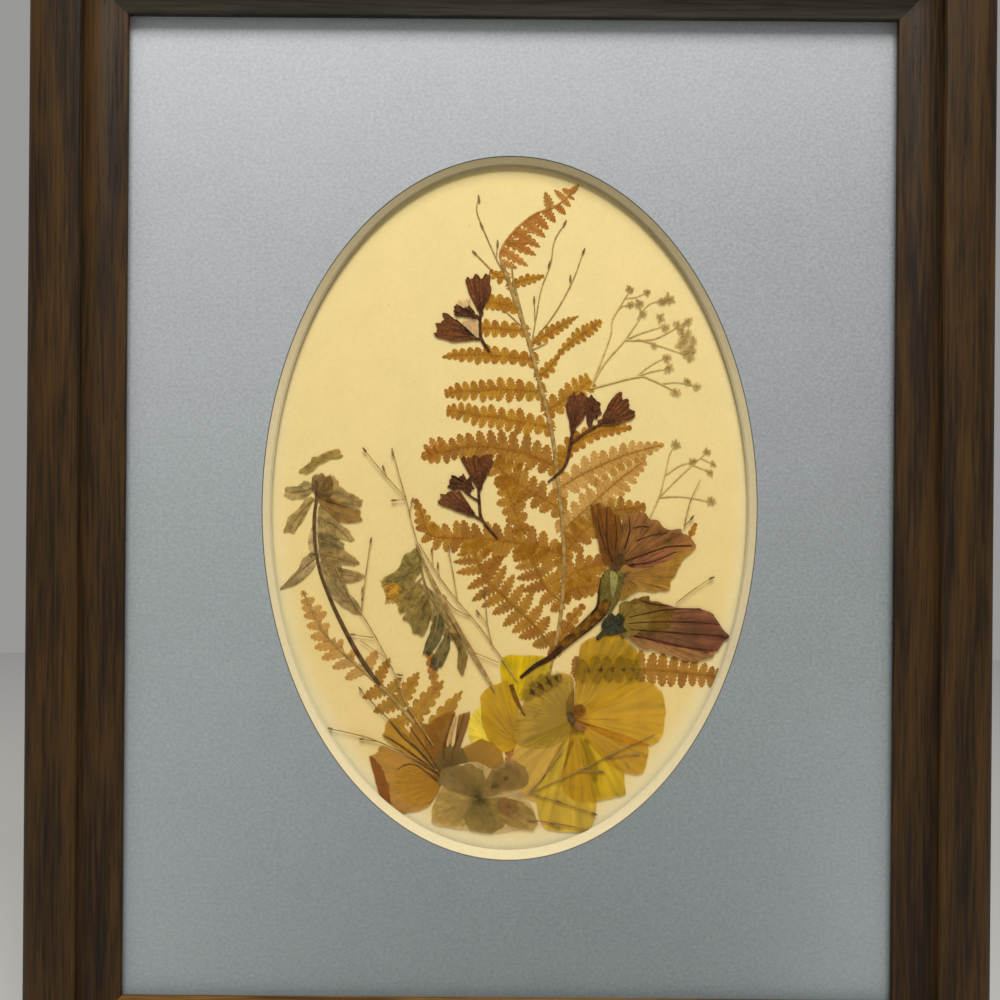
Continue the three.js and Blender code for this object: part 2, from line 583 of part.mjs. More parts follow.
twig('twig_long_thin', 4, [
  [[420, 544], [440, 576], [459, 601], [480, 625], [500, 653], [520, 682]],
  [[433, 549], [434, 566]], [[439, 566], [441, 579]], [[449, 549], [454, 572], [459, 601]],
  [[446, 597], [455, 608], [471, 616]], [[486, 590], [489, 624], [495, 648]], [[479, 611], [490, 626]],
], [[433, 551, 80], [439, 566, 85], [450, 549, -80], [446, 597, -50], [486, 592, 80], [479, 612, -55]]);
twig('twig_left', 5, [
  [[337, 568], [352, 597], [374, 631], [397, 674], [409, 704], [436, 745]],
  [[372, 541], [367, 577], [363, 614]], [[352, 635], [376, 638]], [[362, 641], [388, 658]],
  [[397, 674], [405, 675]],
], [[372, 541, 80], [364, 590, 80], [364, 599, 85], [355, 635, 0], [402, 675, -10]]);
twig('twig_bottom_left', 5, [
  [[363, 690], [372, 700], [396, 724], [418, 744], [441, 771]],
  [[332, 729], [371, 738], [404, 752], [441, 771]],
], [[363, 690, -45], [366, 739, 0]]);
twig('twig_bottom_right', 5, [
  [[657, 732], [619, 750], [590, 765], [563, 778], [532, 792]], [[638, 752], [612, 756]],
  [[604, 770], [578, 769]], [[563, 751], [550, 770], [532, 792]],
  [[597, 812], [560, 800], [532, 792]],
], [[638, 752, 0], [604, 770, -15], [563, 751, 60], [597, 812, -20], [561, 800, -20]]);
twig('twig_bottom_low', 5, [
  [[591, 828], [560, 822], [530, 818]], [[562, 826], [550, 820]],
], [[591, 828, -10], [561, 825, -30]]);
twig('twig_right', 5, [
  [[700, 478], [690, 500], [684, 526]], [[693, 515], [685, 524]],
], [[692, 516, 50]]);
twig('twig_right_low', 5, [
  [[712, 576], [695, 587], [676, 602]],
], [[712, 576, 25]]);

export default picture;
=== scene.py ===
"""A pressed flower picture: dried plants on a cream card behind an oval window mat and glass,
in a mitred wooden frame. Metres, +Z up, the picture faces -Y, the origin is the hanging point."""
import math
import random

import bmesh
import bpy
from mathutils import Matrix, Vector


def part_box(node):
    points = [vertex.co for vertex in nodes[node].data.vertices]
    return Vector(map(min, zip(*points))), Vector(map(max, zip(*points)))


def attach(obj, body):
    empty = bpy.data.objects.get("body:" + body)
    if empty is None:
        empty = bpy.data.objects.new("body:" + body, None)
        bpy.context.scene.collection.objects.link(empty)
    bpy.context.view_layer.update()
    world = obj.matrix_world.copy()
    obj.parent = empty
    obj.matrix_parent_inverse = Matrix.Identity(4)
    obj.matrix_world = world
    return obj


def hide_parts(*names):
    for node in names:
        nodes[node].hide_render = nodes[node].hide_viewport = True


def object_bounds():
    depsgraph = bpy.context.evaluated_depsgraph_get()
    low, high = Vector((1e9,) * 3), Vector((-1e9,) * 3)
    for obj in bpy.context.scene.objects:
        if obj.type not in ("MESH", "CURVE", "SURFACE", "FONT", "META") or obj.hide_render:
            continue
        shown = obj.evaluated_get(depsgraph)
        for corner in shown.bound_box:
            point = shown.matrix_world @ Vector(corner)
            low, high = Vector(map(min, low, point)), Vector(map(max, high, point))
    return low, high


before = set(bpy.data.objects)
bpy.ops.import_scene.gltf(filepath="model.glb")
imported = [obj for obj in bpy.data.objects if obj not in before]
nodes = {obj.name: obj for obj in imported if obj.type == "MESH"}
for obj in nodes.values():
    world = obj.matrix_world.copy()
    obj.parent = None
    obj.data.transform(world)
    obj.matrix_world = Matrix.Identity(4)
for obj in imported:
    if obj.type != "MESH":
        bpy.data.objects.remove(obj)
cad_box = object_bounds()
scene = bpy.context.scene

# ---- Studio ----------------------------------------------------------------------------------
# The picture is seen square on from close by, lit by a soft lamp high above it and by a pale
# room. A pale floor lies just under the frame's bottom edge.
mat_low, mat_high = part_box("window_mat")
MIDDLE = (Vector(mat_low) + Vector(mat_high)) / 2
CAMERA_RANGE = 0.260
VIEW_WIDTH = 0.2432
SENSOR = 36.0
CAMERA_TURN = 0.45
CAMERA_ASIDE = -0.00236
CAMERA_RAISE = 0.0020
KEY_WATTS = 7.8
KEY_ACROSS = 0.42
KEY_PLACE = Vector((0.03, -0.56, 0.52))
KEY_COLOUR = (1.0, 0.985, 0.955)
ROOM_COLOUR = (1.0, 0.99, 0.97, 1)
ROOM_GLOW = 0.32
FLOOR_SIZE = 1.4
FLOOR_GAP = 0.0005
FLOOR_COLOUR = (0.6, 0.59, 0.57, 1)

camera_data = bpy.data.cameras.new("camera")
camera_data.sensor_width = SENSOR
camera_data.lens = SENSOR * CAMERA_RANGE / VIEW_WIDTH
camera_data.clip_start = 0.01
camera = bpy.data.objects.new("camera", camera_data)
camera.location = (CAMERA_ASIDE, mat_low[1] - CAMERA_RANGE, MIDDLE.z + CAMERA_RAISE)
camera.rotation_euler = (math.radians(90), math.radians(-CAMERA_TURN), 0)
scene.collection.objects.link(camera)
scene.camera = camera
scene.view_settings.view_transform = "Standard"

key_data = bpy.data.lights.new("key_lamp", "AREA")
key_data.energy = KEY_WATTS
key_data.size = KEY_ACROSS
key_data.color = KEY_COLOUR
key_lamp = bpy.data.objects.new("key_lamp", key_data)
key_lamp.location = KEY_PLACE
key_lamp.rotation_euler = (MIDDLE - KEY_PLACE).to_track_quat("-Z", "Y").to_euler()
scene.collection.objects.link(key_lamp)

world = bpy.data.worlds.new("pale_room")
world.use_nodes = True
backdrop = world.node_tree.nodes["Background"].inputs
backdrop["Color"].default_value = ROOM_COLOUR
backdrop["Strength"].default_value = ROOM_GLOW
scene.world = world

floor_mesh = bpy.data.meshes.new("floor")
half = FLOOR_SIZE / 2
floor_z = cad_box[0][2] - FLOOR_GAP
floor_mesh.from_pydata(
    [(-half, -half, floor_z), (half, -half, floor_z), (half, half, floor_z), (-half, half, floor_z)],
    [], [(0, 1, 2, 3)])
floor = bpy.data.objects.new("floor", floor_mesh)
floor_paint = bpy.data.materials.new("pale_floor")
floor_paint.use_nodes = True
floor_skin = floor_paint.node_tree.nodes["Principled BSDF"].inputs
floor_skin["Base Color"].default_value = FLOOR_COLOUR
floor_mesh.materials.append(floor_paint)
scene.collection.objects.link(floor)


# ---- Wooden frame ----------------------------------------------------------------------------
# Four rails of a stained hardwood moulding, scooped towards the glass and mitred at the
# corners. The grain runs along each rail. The bottom rail is painted lighter as painted light
# and the top one darker and greyer as painted shade.
def shade(red, green, blue):
    """A display colour from 0 to 255 as the linear colour that shaders take."""
    def linear(value):
        part = value / 255
        return part / 12.92 if part <= 0.04045 else ((part + 0.055) / 1.055) ** 2.4
    return (linear(red), linear(green), linear(blue), 1.0)


def input_of(node, name):
    """A node's input by its label, with _ for a space, or by its number behind a leading _."""
    return node.inputs[int(name[1:]) if name[0] == "_" else name.replace("_", " ")]


class Wire:
    """An output socket, so that shader maths reads as plain expressions."""

    def __init__(self, tree, socket):
        self.tree = tree
        self.socket = socket

    def maths(self, operation, first, second=None, third=None):
        node = self.tree.nodes.new("ShaderNodeMath")
        node.operation = operation
        for slot_in, value in zip(node.inputs, (first, second, third)):
            if isinstance(value, Wire):
                self.tree.links.new(value.socket, slot_in)
            elif value is not None:
                slot_in.default_value = value
        return Wire(self.tree, node.outputs[0])

    def __add__(self, other):
        return self.maths("ADD", self, other)

    def __sub__(self, other):
        return self.maths("SUBTRACT", self, other)

    def __rsub__(self, other):
        return self.maths("SUBTRACT", other, self)

    def __mul__(self, other):
        return self.maths("MULTIPLY", self, other)

    def __pow__(self, other):
        return self.maths("POWER", self, other)

    def sine(self):
        return self.maths("SINE", self)

    def size(self):
        return self.maths("ABSOLUTE", self)

    __radd__ = __add__
    __rmul__ = __mul__


class Finish:
    """A material under construction: its Principled shader and the nodes that feed it."""

    def __init__(self, name, **fixed):
        self.material = bpy.data.materials.new(name)
        self.material.use_nodes = True
        self.tree = self.material.node_tree
        self.shader = self.tree.nodes["Principled BSDF"]
        self.feed(self.shader, fixed)

    def feed(self, node, sockets):
        for name, value in sockets.items():
            if isinstance(value, Wire):
                self.tree.links.new(value.socket, input_of(node, name))
            else:
                input_of(node, name).default_value = value

    def node(self, kind, settings=None, output=0, **sockets):
        made = self.tree.nodes.new("ShaderNode" + kind)
        for name, value in (settings or {}).items():
            if name == "stops":
                ramp = made.color_ramp.elements
                while len(ramp) < len(value):
                    ramp.new(0.5)
                for stop, (place, colour) in zip(ramp, value):
                    stop.position = place
                    stop.color = colour
            else:
                setattr(made, name, value)
        self.feed(made, sockets)
        return Wire(self.tree, made.outputs[output])

    def place(self):
        return self.node("TexCoord", output=3)

    def axis(self, which):
        """How far a point lies along x, y or z, as 0, 1 or 2."""
        return self.node("SeparateXYZ", output=which, Vector=self.place())

    def level(self, low, high):
        """0 at one height and 1 at another, both from the picture's middle."""
        return self.band(self.axis(2), MIDDLE.z + low, MIDDLE.z + high)

    def value(self, name):
        """A number that the mesh carries at each point."""
        return self.node("Attribute", {"attribute_name": name}, output=2)

    def noise(self, scale, detail=2.0, stretch=(1, 1, 1), where=None):
        spot = where or self.place()
        spread = self.node("Mapping", Vector=spot, Scale=stretch)
        return self.node("TexNoise", Vector=spread, Scale=scale, Detail=detail)

    def band(self, value, low, high):
        """0 below low, 1 above high, smooth between."""
        return self.node("MapRange", {"interpolation_type": "SMOOTHSTEP"}, Value=value,
                         From_Min=low, From_Max=high)

    def mix(self, amount, first, second):
        return self.node("Mix", {"data_type": "RGBA"}, output=2, _0=amount, _6=first, _7=second)

    def scaled(self, colour, amount):
        base = colour if isinstance(colour, Wire) else colour[:3]
        return self.node("VectorMath", {"operation": "SCALE"}, _0=base, Scale=amount)

    def bump(self, height, depth, strength=1.0):
        self.feed(self.shader, {"Normal": self.node("Bump", Height=height, Distance=depth,
                                                    Strength=strength)})


def wood_finish(name, dark, light):
    """Stained wood, with fine fibres, a broad figure and dark pores along the grain."""
    made = Finish(name, Specular_IOR_Level=0.16, Coat_Weight=0.03, Coat_Roughness=0.3)
    grain_place = made.node("UVMap", {"uv_map": "grain"})
    fibres = made.noise(1.0, 4, (60, 1500, 1), grain_place)
    figure = made.noise(1.0, 3, (14, 220, 1), grain_place)
    pores = made.band(made.noise(1.0, 2, (110, 2600, 1), grain_place), 0.62, 0.72)
    tone = made.band(fibres * 0.45 + figure * 0.55, 0.35, 0.66)
    stain = made.mix(tone, shade(*dark), shade(*light))
    stain = made.mix(pores * 0.6, stain, shade(18, 12, 7))
    made.feed(made.shader, {"Base_Color": stain, "Roughness": 0.42 + fibres * 0.16})
    made.bump(fibres * 0.6 - pores, 0.00012, 0.5)
    return made.material


# One wood three times: the bottom rail's copy is painted light, the top rail's painted shade.
WALNUT = wood_finish("stained_wood", (28, 19, 10), (68, 46, 17))
LIT_WOOD = wood_finish("painted_lit_wood", (62, 42, 18), (132, 94, 42))
SHADED_WOOD = wood_finish("painted_shaded_wood", (26, 23, 18), (52, 46, 34))
RAIL_W = 0.022
LIP = 0.0095
LIP_T = 0.0014
LIP_ROUND = 0.0005
SCOOP_W = 0.0085
SCOOP_STOP = 0.0006
CROWN_ROUND = 0.0009
CROWN_EASE = 0.0001
CROWN_DROP = 0.0026
SHOULDER = 0.005
CURVE_STEPS = 14
GLASS_GAP = 0.00002
MITRE_GAP = 0.00003
GRAIN_SHIFT = 0.1
CREASE_ANGLE = math.radians(32)
rail_low, rail_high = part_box("frame_rail_bottom")
RAIL_BACK = -rail_high[1]
RAIL_FRONT = -rail_low[1]
RABBET_STOP = -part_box("glass_pane")[0][1] + GLASS_GAP
OUTER_HALF_W = rail_high[0] + MITRE_GAP
OUTER_HALF_H = MIDDLE.z - rail_low[2]


def moulding_section():
    """The moulding's section as (outwards from the sight edge, forwards from the wall)."""
    edge = RABBET_STOP + LIP_T
    points = [(RAIL_W, RAIL_BACK), (LIP, RAIL_BACK), (LIP, RABBET_STOP), (0, RABBET_STOP)]
    points += [(0, edge - LIP_ROUND), (LIP_ROUND * 0.3, edge - LIP_ROUND * 0.3), (LIP_ROUND, edge)]
    quarter = [(math.sin(turn), 1 - math.cos(turn)) for turn in
               (i / CURVE_STEPS * math.pi / 2 for i in range(CURVE_STEPS + 1))]
    rise = RAIL_FRONT - SCOOP_STOP - edge
    points += [(LIP_ROUND + SCOOP_W * out, edge + rise * up) for out, up in quarter[1:]]
    crown = SCOOP_W + LIP_ROUND + CROWN_ROUND
    points += [(crown - LIP_ROUND, RAIL_FRONT - CROWN_EASE), (crown, RAIL_FRONT)]
    points += [(RAIL_W - SHOULDER + SHOULDER * out, RAIL_FRONT - CROWN_DROP * up)
               for out, up in quarter]
    return points


def mesh_piece(name, mesh, replaced):
    """Puts a finished mesh in the scene as the piece that stands for a node."""
    piece = bpy.data.objects.new(name, mesh)
    scene.collection.objects.link(piece)
    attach(piece, "root")
    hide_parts(replaced)


def frame_rail(side, quarter_turns, wood):
    """One mitred rail, made as the bottom one and turned about the picture's middle."""
    section = moulding_section()
    sight = (OUTER_HALF_W if quarter_turns % 2 == 0 else OUTER_HALF_H) - RAIL_W
    across = (OUTER_HALF_H if quarter_turns % 2 == 0 else OUTER_HALF_W) - RAIL_W
    count = len(section)
    body = bmesh.new()
    rings = [[body.verts.new((end * (sight + out - MITRE_GAP), -ahead, -across - out))
              for out, ahead in section] for end in (-1, 1)]
    lengths = [0.0]
    for (a, b), (c, d) in zip(section, section[1:] + section[:1]):
        lengths.append(lengths[-1] + math.hypot(c - a, d - b))
    grain = body.loops.layers.uv.new("grain")
    for i in range(count):
        j = (i + 1) % count
        face = body.faces.new((rings[0][i], rings[0][j], rings[1][j], rings[1][i]))
        for loop, far in zip(face.loops, (lengths[i], lengths[i + 1], lengths[i + 1], lengths[i])):
            loop[grain].uv = (loop.vert.co.x + quarter_turns, far + GRAIN_SHIFT * quarter_turns)
        face.smooth = True
    for ring in rings:
        cap = body.faces.new(ring)
        for loop in cap.loops:
            loop[grain].uv = (loop.vert.co.x, loop.vert.co.y)
    bmesh.ops.recalc_face_normals(body, faces=body.faces)
    for edge in body.edges:
        edge.smooth = edge.calc_face_angle(0) < CREASE_ANGLE
    turn = Matrix.Rotation(quarter_turns * math.pi / 2, 4, "Y")
    body.transform(Matrix.Translation((0, 0, MIDDLE.z)) @ turn)
    mesh = bpy.data.meshes.new("rail_" + side)
    body.to_mesh(mesh)
    body.free()
    mesh.materials.append(wood)
    mesh_piece("rail_" + side, mesh, "frame_rail_" + side)


for turns, (side, wood) in enumerate(
        [("bottom", LIT_WOOD), ("left", WALNUT), ("top", SHADED_WOOD), ("right", WALNUT)]):
    frame_rail(side, turns, wood)


# ---- Glass -----------------------------------------------------------------------------------
# A pane of plain picture glass that lies in the rabbet. It lets the light through with a
# trace of green and keeps only a faint sheen.
def glass_finish():
    """Clear glass that keeps a faint mirror sheen on its front faces."""
    made = Finish("picture_glass")
    clear = made.node("BsdfTransparent", Color=(0.985, 0.995, 0.99, 1))
    sheen = made.node("BsdfGlossy", Color=(0.35, 0.36, 0.36, 1), Roughness=0.04)
    front = 1 - made.node("NewGeometry", output=6)
    edge = made.node("Fresnel", IOR=1.45) * front
    both = made.node("MixShader", _0=edge, _1=clear, _2=sheen)
    out = made.tree.nodes["Material Output"]
    made.tree.links.new(both.socket, out.inputs["Surface"])
    made.tree.nodes.remove(made.shader)
    return made.material


def dress(node_name, material):
    """Gives a CAD node its finish."""
    slots = nodes[node_name].data.materials
    slots.clear()
    slots.append(material)


dress("glass_pane", glass_finish())


# ---- Window mat ------------------------------------------------------------------------------
# A board faced with fine blue-grey paper over a cream core, cut with a 45 degree bevel round
# the oval. The paper's cut edge shows as a thin dark line at the top of the bevel.
OVAL_W = 4.75 * 0.0254
OVAL_H = 6.75 * 0.0254
OVAL_STEPS = 320
BEVEL_CREASE = math.radians(20)
FACING_T = 0.0002
MAT_FRONT = -mat_low[1]
MAT_BACK = -mat_high[1]


def facing_finish():
    """Blue-grey paper with a fine fibre. Painted shade darkens it to the foot, to the right and
    at the lower middle, and painted light brightens the head and the lower corners.
    """
    made = Finish("mat_facing", Roughness=0.9, Specular_IOR_Level=0.2)
    across = made.axis(0)
    # Painted light and shade: paler towards the top, darker towards the foot.
    lit_to_shaded = made.mix(made.level(0.13, -0.13), shade(184, 185, 190), shade(142, 148, 151))
    fibre = made.noise(1300, 3, (1, 1, 1.2)) - 0.5
    cloud = made.noise(60, 3) - 0.5
    # Painted shade at the lower middle and to the right, painted light at the head and lower corners.
    foot = made.level(0.006, -0.12)
    corner = foot * made.band(across, 0.05, 0.09) * 0.14
    painted_light = across * across * foot * 33 + made.level(0.06, 0.12) * 0.13 - across * 1.04 + corner
    paper = made.scaled(lit_to_shaded, 0.87 + painted_light + fibre * 0.5 + cloud * 0.07)
    fleck = made.band(made.noise(2300, 2), 0.66, 0.74)
    made.feed(made.shader, {"Base_Color": made.mix(fleck * 0.12, paper, shade(120, 126, 132))})
    made.bump(fibre + made.noise(2600, 2) * 0.4, 0.00006, 0.5)
    return made.material


def core_finish():
    """The cream core that the bevel shows, with painted shade up the sides, at the top and to
    the right, and a painted shadow along its foot.
    """
    made = Finish("mat_core", Roughness=0.85, Specular_IOR_Level=0.2)
    pulp = made.noise(1500, 3) - 0.5
    cut = made.noise(380, 2, (1, 4, 1)) - 0.5
    # Painted shade: darker up the sides, more at the top, and to the right.
    painted_shade = made.level(-0.085, -0.03) * 0.09 + made.axis(0) * 0.8 + made.level(0.02, 0.07) * 0.2
    # Painted shadow along the bevel's foot, darkest at the top, where the mat's edge shades the card.
    foot = made.band(made.axis(1), -MAT_BACK - 0.0006, -MAT_BACK - 0.0003)
    painted_shade = painted_shade + foot * (made.level(-0.09, -0.03) * 0.2 + made.level(0.03, 0.08) * 0.12)
    core = made.scaled(shade(234, 215, 174), 1.0 + pulp * 0.14 + cut * 0.10 - painted_shade)
    made.feed(made.shader, {"Base_Color": core})
    made.bump(pulp + cut, 0.00003, 0.4)
    return made.material


def ply_finish():
    """The facing paper's cut edge, a thin dark line."""
    made = Finish("mat_ply_line", Roughness=0.9)
    line = made.scaled(shade(96, 92, 84), 0.9 + made.noise(700) * 0.25)
    made.feed(made.shader, {"Base_Color": line})
    return made.material


def window_mat():
    """The mat as one closed body: rings round the oval, joined to its straight outer edges."""
    body = bmesh.new()
    half_w, half_h = (mat_high[0] - mat_low[0]) / 2, (mat_high[2] - mat_low[2]) / 2
    depth = MAT_FRONT - MAT_BACK

    def oval(shrink, ahead):
        ring = []
        for i in range(OVAL_STEPS):
            turn = 2 * math.pi * i / OVAL_STEPS
            x = (OVAL_W / 2 - shrink) * math.cos(turn)
            z = (OVAL_H / 2 - shrink) * math.sin(turn)
            ring.append(body.verts.new((x, -ahead, MIDDLE.z + z)))
        return ring

    def rim(ahead):
        """Where rays from the middle through the oval's points meet the mat's outer edges."""
        ring = []
        for i in range(OVAL_STEPS):
            turn = 2 * math.pi * i / OVAL_STEPS
            x, z = OVAL_W / 2 * math.cos(turn), OVAL_H / 2 * math.sin(turn)
            reach = min(half_w / max(abs(x), 1e-9), half_h / max(abs(z), 1e-9))
            ring.append(body.verts.new((x * reach, -ahead, MIDDLE.z + z * reach)))
        corner_turns = [math.atan2(half_h / OVAL_H, half_w / OVAL_W)]
        corner_turns += [math.pi - corner_turns[0], math.pi + corner_turns[0], -corner_turns[0]]
        for turn, (sx, sz) in zip(corner_turns, ((1, 1), (-1, 1), (-1, -1), (1, -1))):
            nearest = round((turn % (2 * math.pi)) / (2 * math.pi) * OVAL_STEPS) % OVAL_STEPS
            ring[nearest].co = (sx * half_w, -ahead, MIDDLE.z + sz * half_h)
        return ring

    rings = [rim(MAT_FRONT), oval(0, MAT_FRONT), oval(FACING_T, MAT_FRONT - FACING_T),
             oval(depth, MAT_BACK), rim(MAT_BACK)]
    kinds = [0, 1, 2, 0, 0]
    for k, kind in enumerate(kinds):
        first, second = rings[k], rings[(k + 1) % len(rings)]
        for i in range(OVAL_STEPS):
            j = (i + 1) % OVAL_STEPS
            face = body.faces.new((first[i], first[j], second[j], second[i]))
            face.material_index = kind
            face.smooth = k == 2
    bmesh.ops.recalc_face_normals(body, faces=body.faces)
    for edge in body.edges:
        edge.smooth = edge.calc_face_angle(0) < BEVEL_CREASE
    mesh = bpy.data.meshes.new("oval_window_mat")
    body.to_mesh(mesh)
    body.free()
    for material in (facing_finish(), ply_finish(), core_finish()):
        mesh.materials.append(material)
    mesh_piece("oval_window_mat", mesh, "window_mat")


window_mat()


# ---- Card, backing board and hardware --------------------------------------------------------
# The plants are glued to a cream card that has yellowed with age. Behind it lies a brown
# fibreboard held by steel glazier's points, and the hanger is a bent strip of plated steel.
def card_finish():
    """Cream card, yellowed unevenly and flecked, with painted light by the oval's lower edge."""
    made = Finish("cream_card", Roughness=0.85, Specular_IOR_Level=0.2)
    low = made.level(0.09, -0.09)
    yellowed_and_lit = made.mix(low, shade(236, 211, 148), shade(232, 200, 128))
    blotch = made.band(made.noise(38, 4), 0.35, 0.68)
    yellowed_and_lit = made.mix(blotch * 0.35, yellowed_and_lit, shade(240, 206, 142))
    outwards = (made.axis(0) * (2 / OVAL_W)) ** 2 + ((made.axis(2) - MIDDLE.z) * (2 / OVAL_H)) ** 2
    # Painted light: paler by the oval's lower edge, where light bounces off the bevel.
    yellowed_and_lit = made.mix(made.band(outwards, 0.78, 0.98) * low * 0.7, yellowed_and_lit, shade(246, 232, 192))
    pulp = made.noise(1300, 3) - 0.5
    cloud = made.noise(160, 3) - 0.5
    speck = made.band(made.noise(520, 2), 0.73, 0.78)
    paper = made.scaled(yellowed_and_lit, 1.0 + pulp * 0.12 + cloud * 0.09)
    made.feed(made.shader, {"Base_Color": made.mix(speck * 0.35, paper, shade(196, 160, 90))})
    made.bump(pulp, 0.00003, 0.4)
    return made.material


def board_finish():
    """Brown board of pressed fibre with fine flakes."""
    made = Finish("fibreboard", Roughness=0.95)
    flakes = made.noise(900, 4, (1, 1, 0.6))
    pulp = made.noise(2200, 2)
    brown = made.mix(made.band(flakes, 0.3, 0.75), shade(140, 110, 72), shade(160, 128, 86))
    made.feed(made.shader, {"Base_Color": made.scaled(brown, 0.85 + pulp * 0.3)})
    made.bump(flakes + pulp * 0.5, 0.0001, 0.5)
    return made.material


def steel_finish():
    """Plated steel, streaked by the rolls and tarnished in spots."""
    made = Finish("plated_steel", Metallic=1.0)
    streak = made.noise(500, 3, (0.15, 1, 1))
    spot = made.band(made.noise(900, 3), 0.62, 0.75)
    tarnish = made.mix(spot * 0.6, shade(190, 188, 180), shade(120, 104, 82))
    made.feed(made.shader, {"Base_Color": tarnish, "Roughness": 0.28 + streak * 0.2 + spot * 0.2})
    made.bump(streak, 0.00003, 0.3)
    return made.material


dress("mount_card", card_finish())
dress("backing_board", board_finish())
STEEL = steel_finish()
for steel_node in [n for n in nodes if n.startswith(("glazier_point", "sawtooth", "hanger_nail"))]:
    dress(steel_node, STEEL)


# ---- Fern ------------------------------------------------------------------------------------
# A large ochre frond with two smaller sprigs and loose scraps, pressed flat and glued down.
# Each pinna is a thin midrib with toothed pinnules on both sides, set out by Geometry Nodes,
# and the lowest two have deeply cut pinnules.
# GRID is the size of one unit of the plants' layout and GRID_U, GRID_V is its middle. LIFT is
# one step forwards within a plant's layer, and STAGGER the step between neighbours.
GRID = 0.0002462
GRID_U = 510
GRID_V = 508
LAYER_T = 0.00012
LIFT = 0.00001
STAGGER = 0.000002
UPRIGHT = Matrix.Translation((0, 0, MIDDLE.z)) @ Matrix.Rotation(math.pi / 2, 4, "X")


def rear_of(node_name):
    """How far the rear face of a plant's node stands in front of the wall."""
    return -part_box(node_name)[1][1]


def spot(u, v, ahead=0.0):
    """A point of the plants' layout grid, laid flat with the front upwards."""
    return Vector(((u - GRID_U) * GRID, (GRID_V - v) * GRID, ahead))


def joined(name, parts):
    """Several meshes as one, laid upright in the frame."""
    made = [bpy.data.objects.new(name, mesh) for mesh in parts]
    for part in made:
        scene.collection.objects.link(part)
    if len(made) > 1:
        with bpy.context.temp_override(active_object=made[0], object=made[0],
                                       selected_editable_objects=made, selected_objects=made):
            bpy.ops.object.join()
    mesh = made[0].data
    mesh.transform(UPRIGHT)
    mesh.name = name
    bpy.data.objects.remove(made[0])
    return mesh


def press(node_name, kind, parts):
    """Joins a plant's parts and puts them in place of its node."""
    name = f"{node_name}_{kind}"
    mesh_piece(name, joined(name, parts), node_name)


class Tree:
    """A Geometry Nodes tree with named inputs, built in a few lines."""

    KINDS = {"Float": "NodeSocketFloat", "Object": "NodeSocketObject", "Int": "NodeSocketInt",
             "Material": "NodeSocketMaterial"}

    def __init__(self, name, **inputs):
        self.tree = bpy.data.node_groups.new(name, "GeometryNodeTree")
        self.tree.interface.new_socket("Geometry", in_out="INPUT", socket_type="NodeSocketGeometry")
        self.names = {}
        for label, kind in inputs.items():
            made = self.tree.interface.new_socket(label, in_out="INPUT", socket_type=self.KINDS[kind])
            self.names[label] = made.identifier
        self.tree.interface.new_socket("Geometry", in_out="OUTPUT", socket_type="NodeSocketGeometry")
        self.source = self.tree.nodes.new("NodeGroupInput")

    def given(self, label):
        return self.source.outputs[label]

    def node(self, kind, settings=None, output=0, **sockets):
        made = self.tree.nodes.new(kind)
        for name, value in (settings or {}).items():
            setattr(made, name, value)
        for name, value in sockets.items():
            if isinstance(value, bpy.types.NodeSocket):
                self.tree.links.new(value, input_of(made, name))
            else:
                input_of(made, name).default_value = value
        return made.outputs[output]

    def named(self, attribute):
        return self.node("GeometryNodeInputNamedAttribute", {"data_type": "FLOAT"}, Name=attribute)

    def sum(self, operation, first, second):
        return self.node("ShaderNodeMath", {"operation": operation}, _0=first, _1=second)

    def finish(self, geometry, material):
        real = self.node("GeometryNodeRealizeInstances", Geometry=geometry)
        coated = self.node("GeometryNodeSetMaterial", Geometry=real, Material=material)
        out = self.tree.nodes.new("NodeGroupOutput")
        self.tree.links.new(coated, out.inputs[0])
        return self

    def grow(self, mesh, **values):
        """Runs the tree on a mesh and returns the result as a plain mesh."""
        seedling = bpy.data.objects.new("seedling", mesh)
        scene.collection.objects.link(seedling)
        modifier = seedling.modifiers.new("grow", "NODES")
        modifier.node_group = self.tree
        for label, value in values.items():
            modifier[self.names[label]] = value
        graph = bpy.context.evaluated_depsgraph_get()
        graph.update()
        grown = bpy.data.meshes.new_from_object(seedling.evaluated_get(graph), depsgraph=graph)
        seedling.modifiers.remove(modifier)
        bpy.data.objects.remove(seedling)
        return grown


def lines(paths, ahead, **columns):
    """A mesh of edges along each path of (u, v, value ...) points, with the values as attributes."""
    points, edges, values = [], [], {name: [] for name in columns}
    for path in paths:
        start = len(points)
        for entry in path:
            points.append(spot(entry[0], entry[1], ahead))
            for name, column in columns.items():
                values[name].append(entry[column])
        edges += [(start + i, start + i + 1) for i in range(len(path) - 1)]
    mesh = bpy.data.meshes.new("lines")
    mesh.from_pydata(points, edges, [])
    for name, numbers in values.items():
        mesh.attributes.new(name, "FLOAT", "POINT").data.foreach_set("value", numbers)
    return mesh


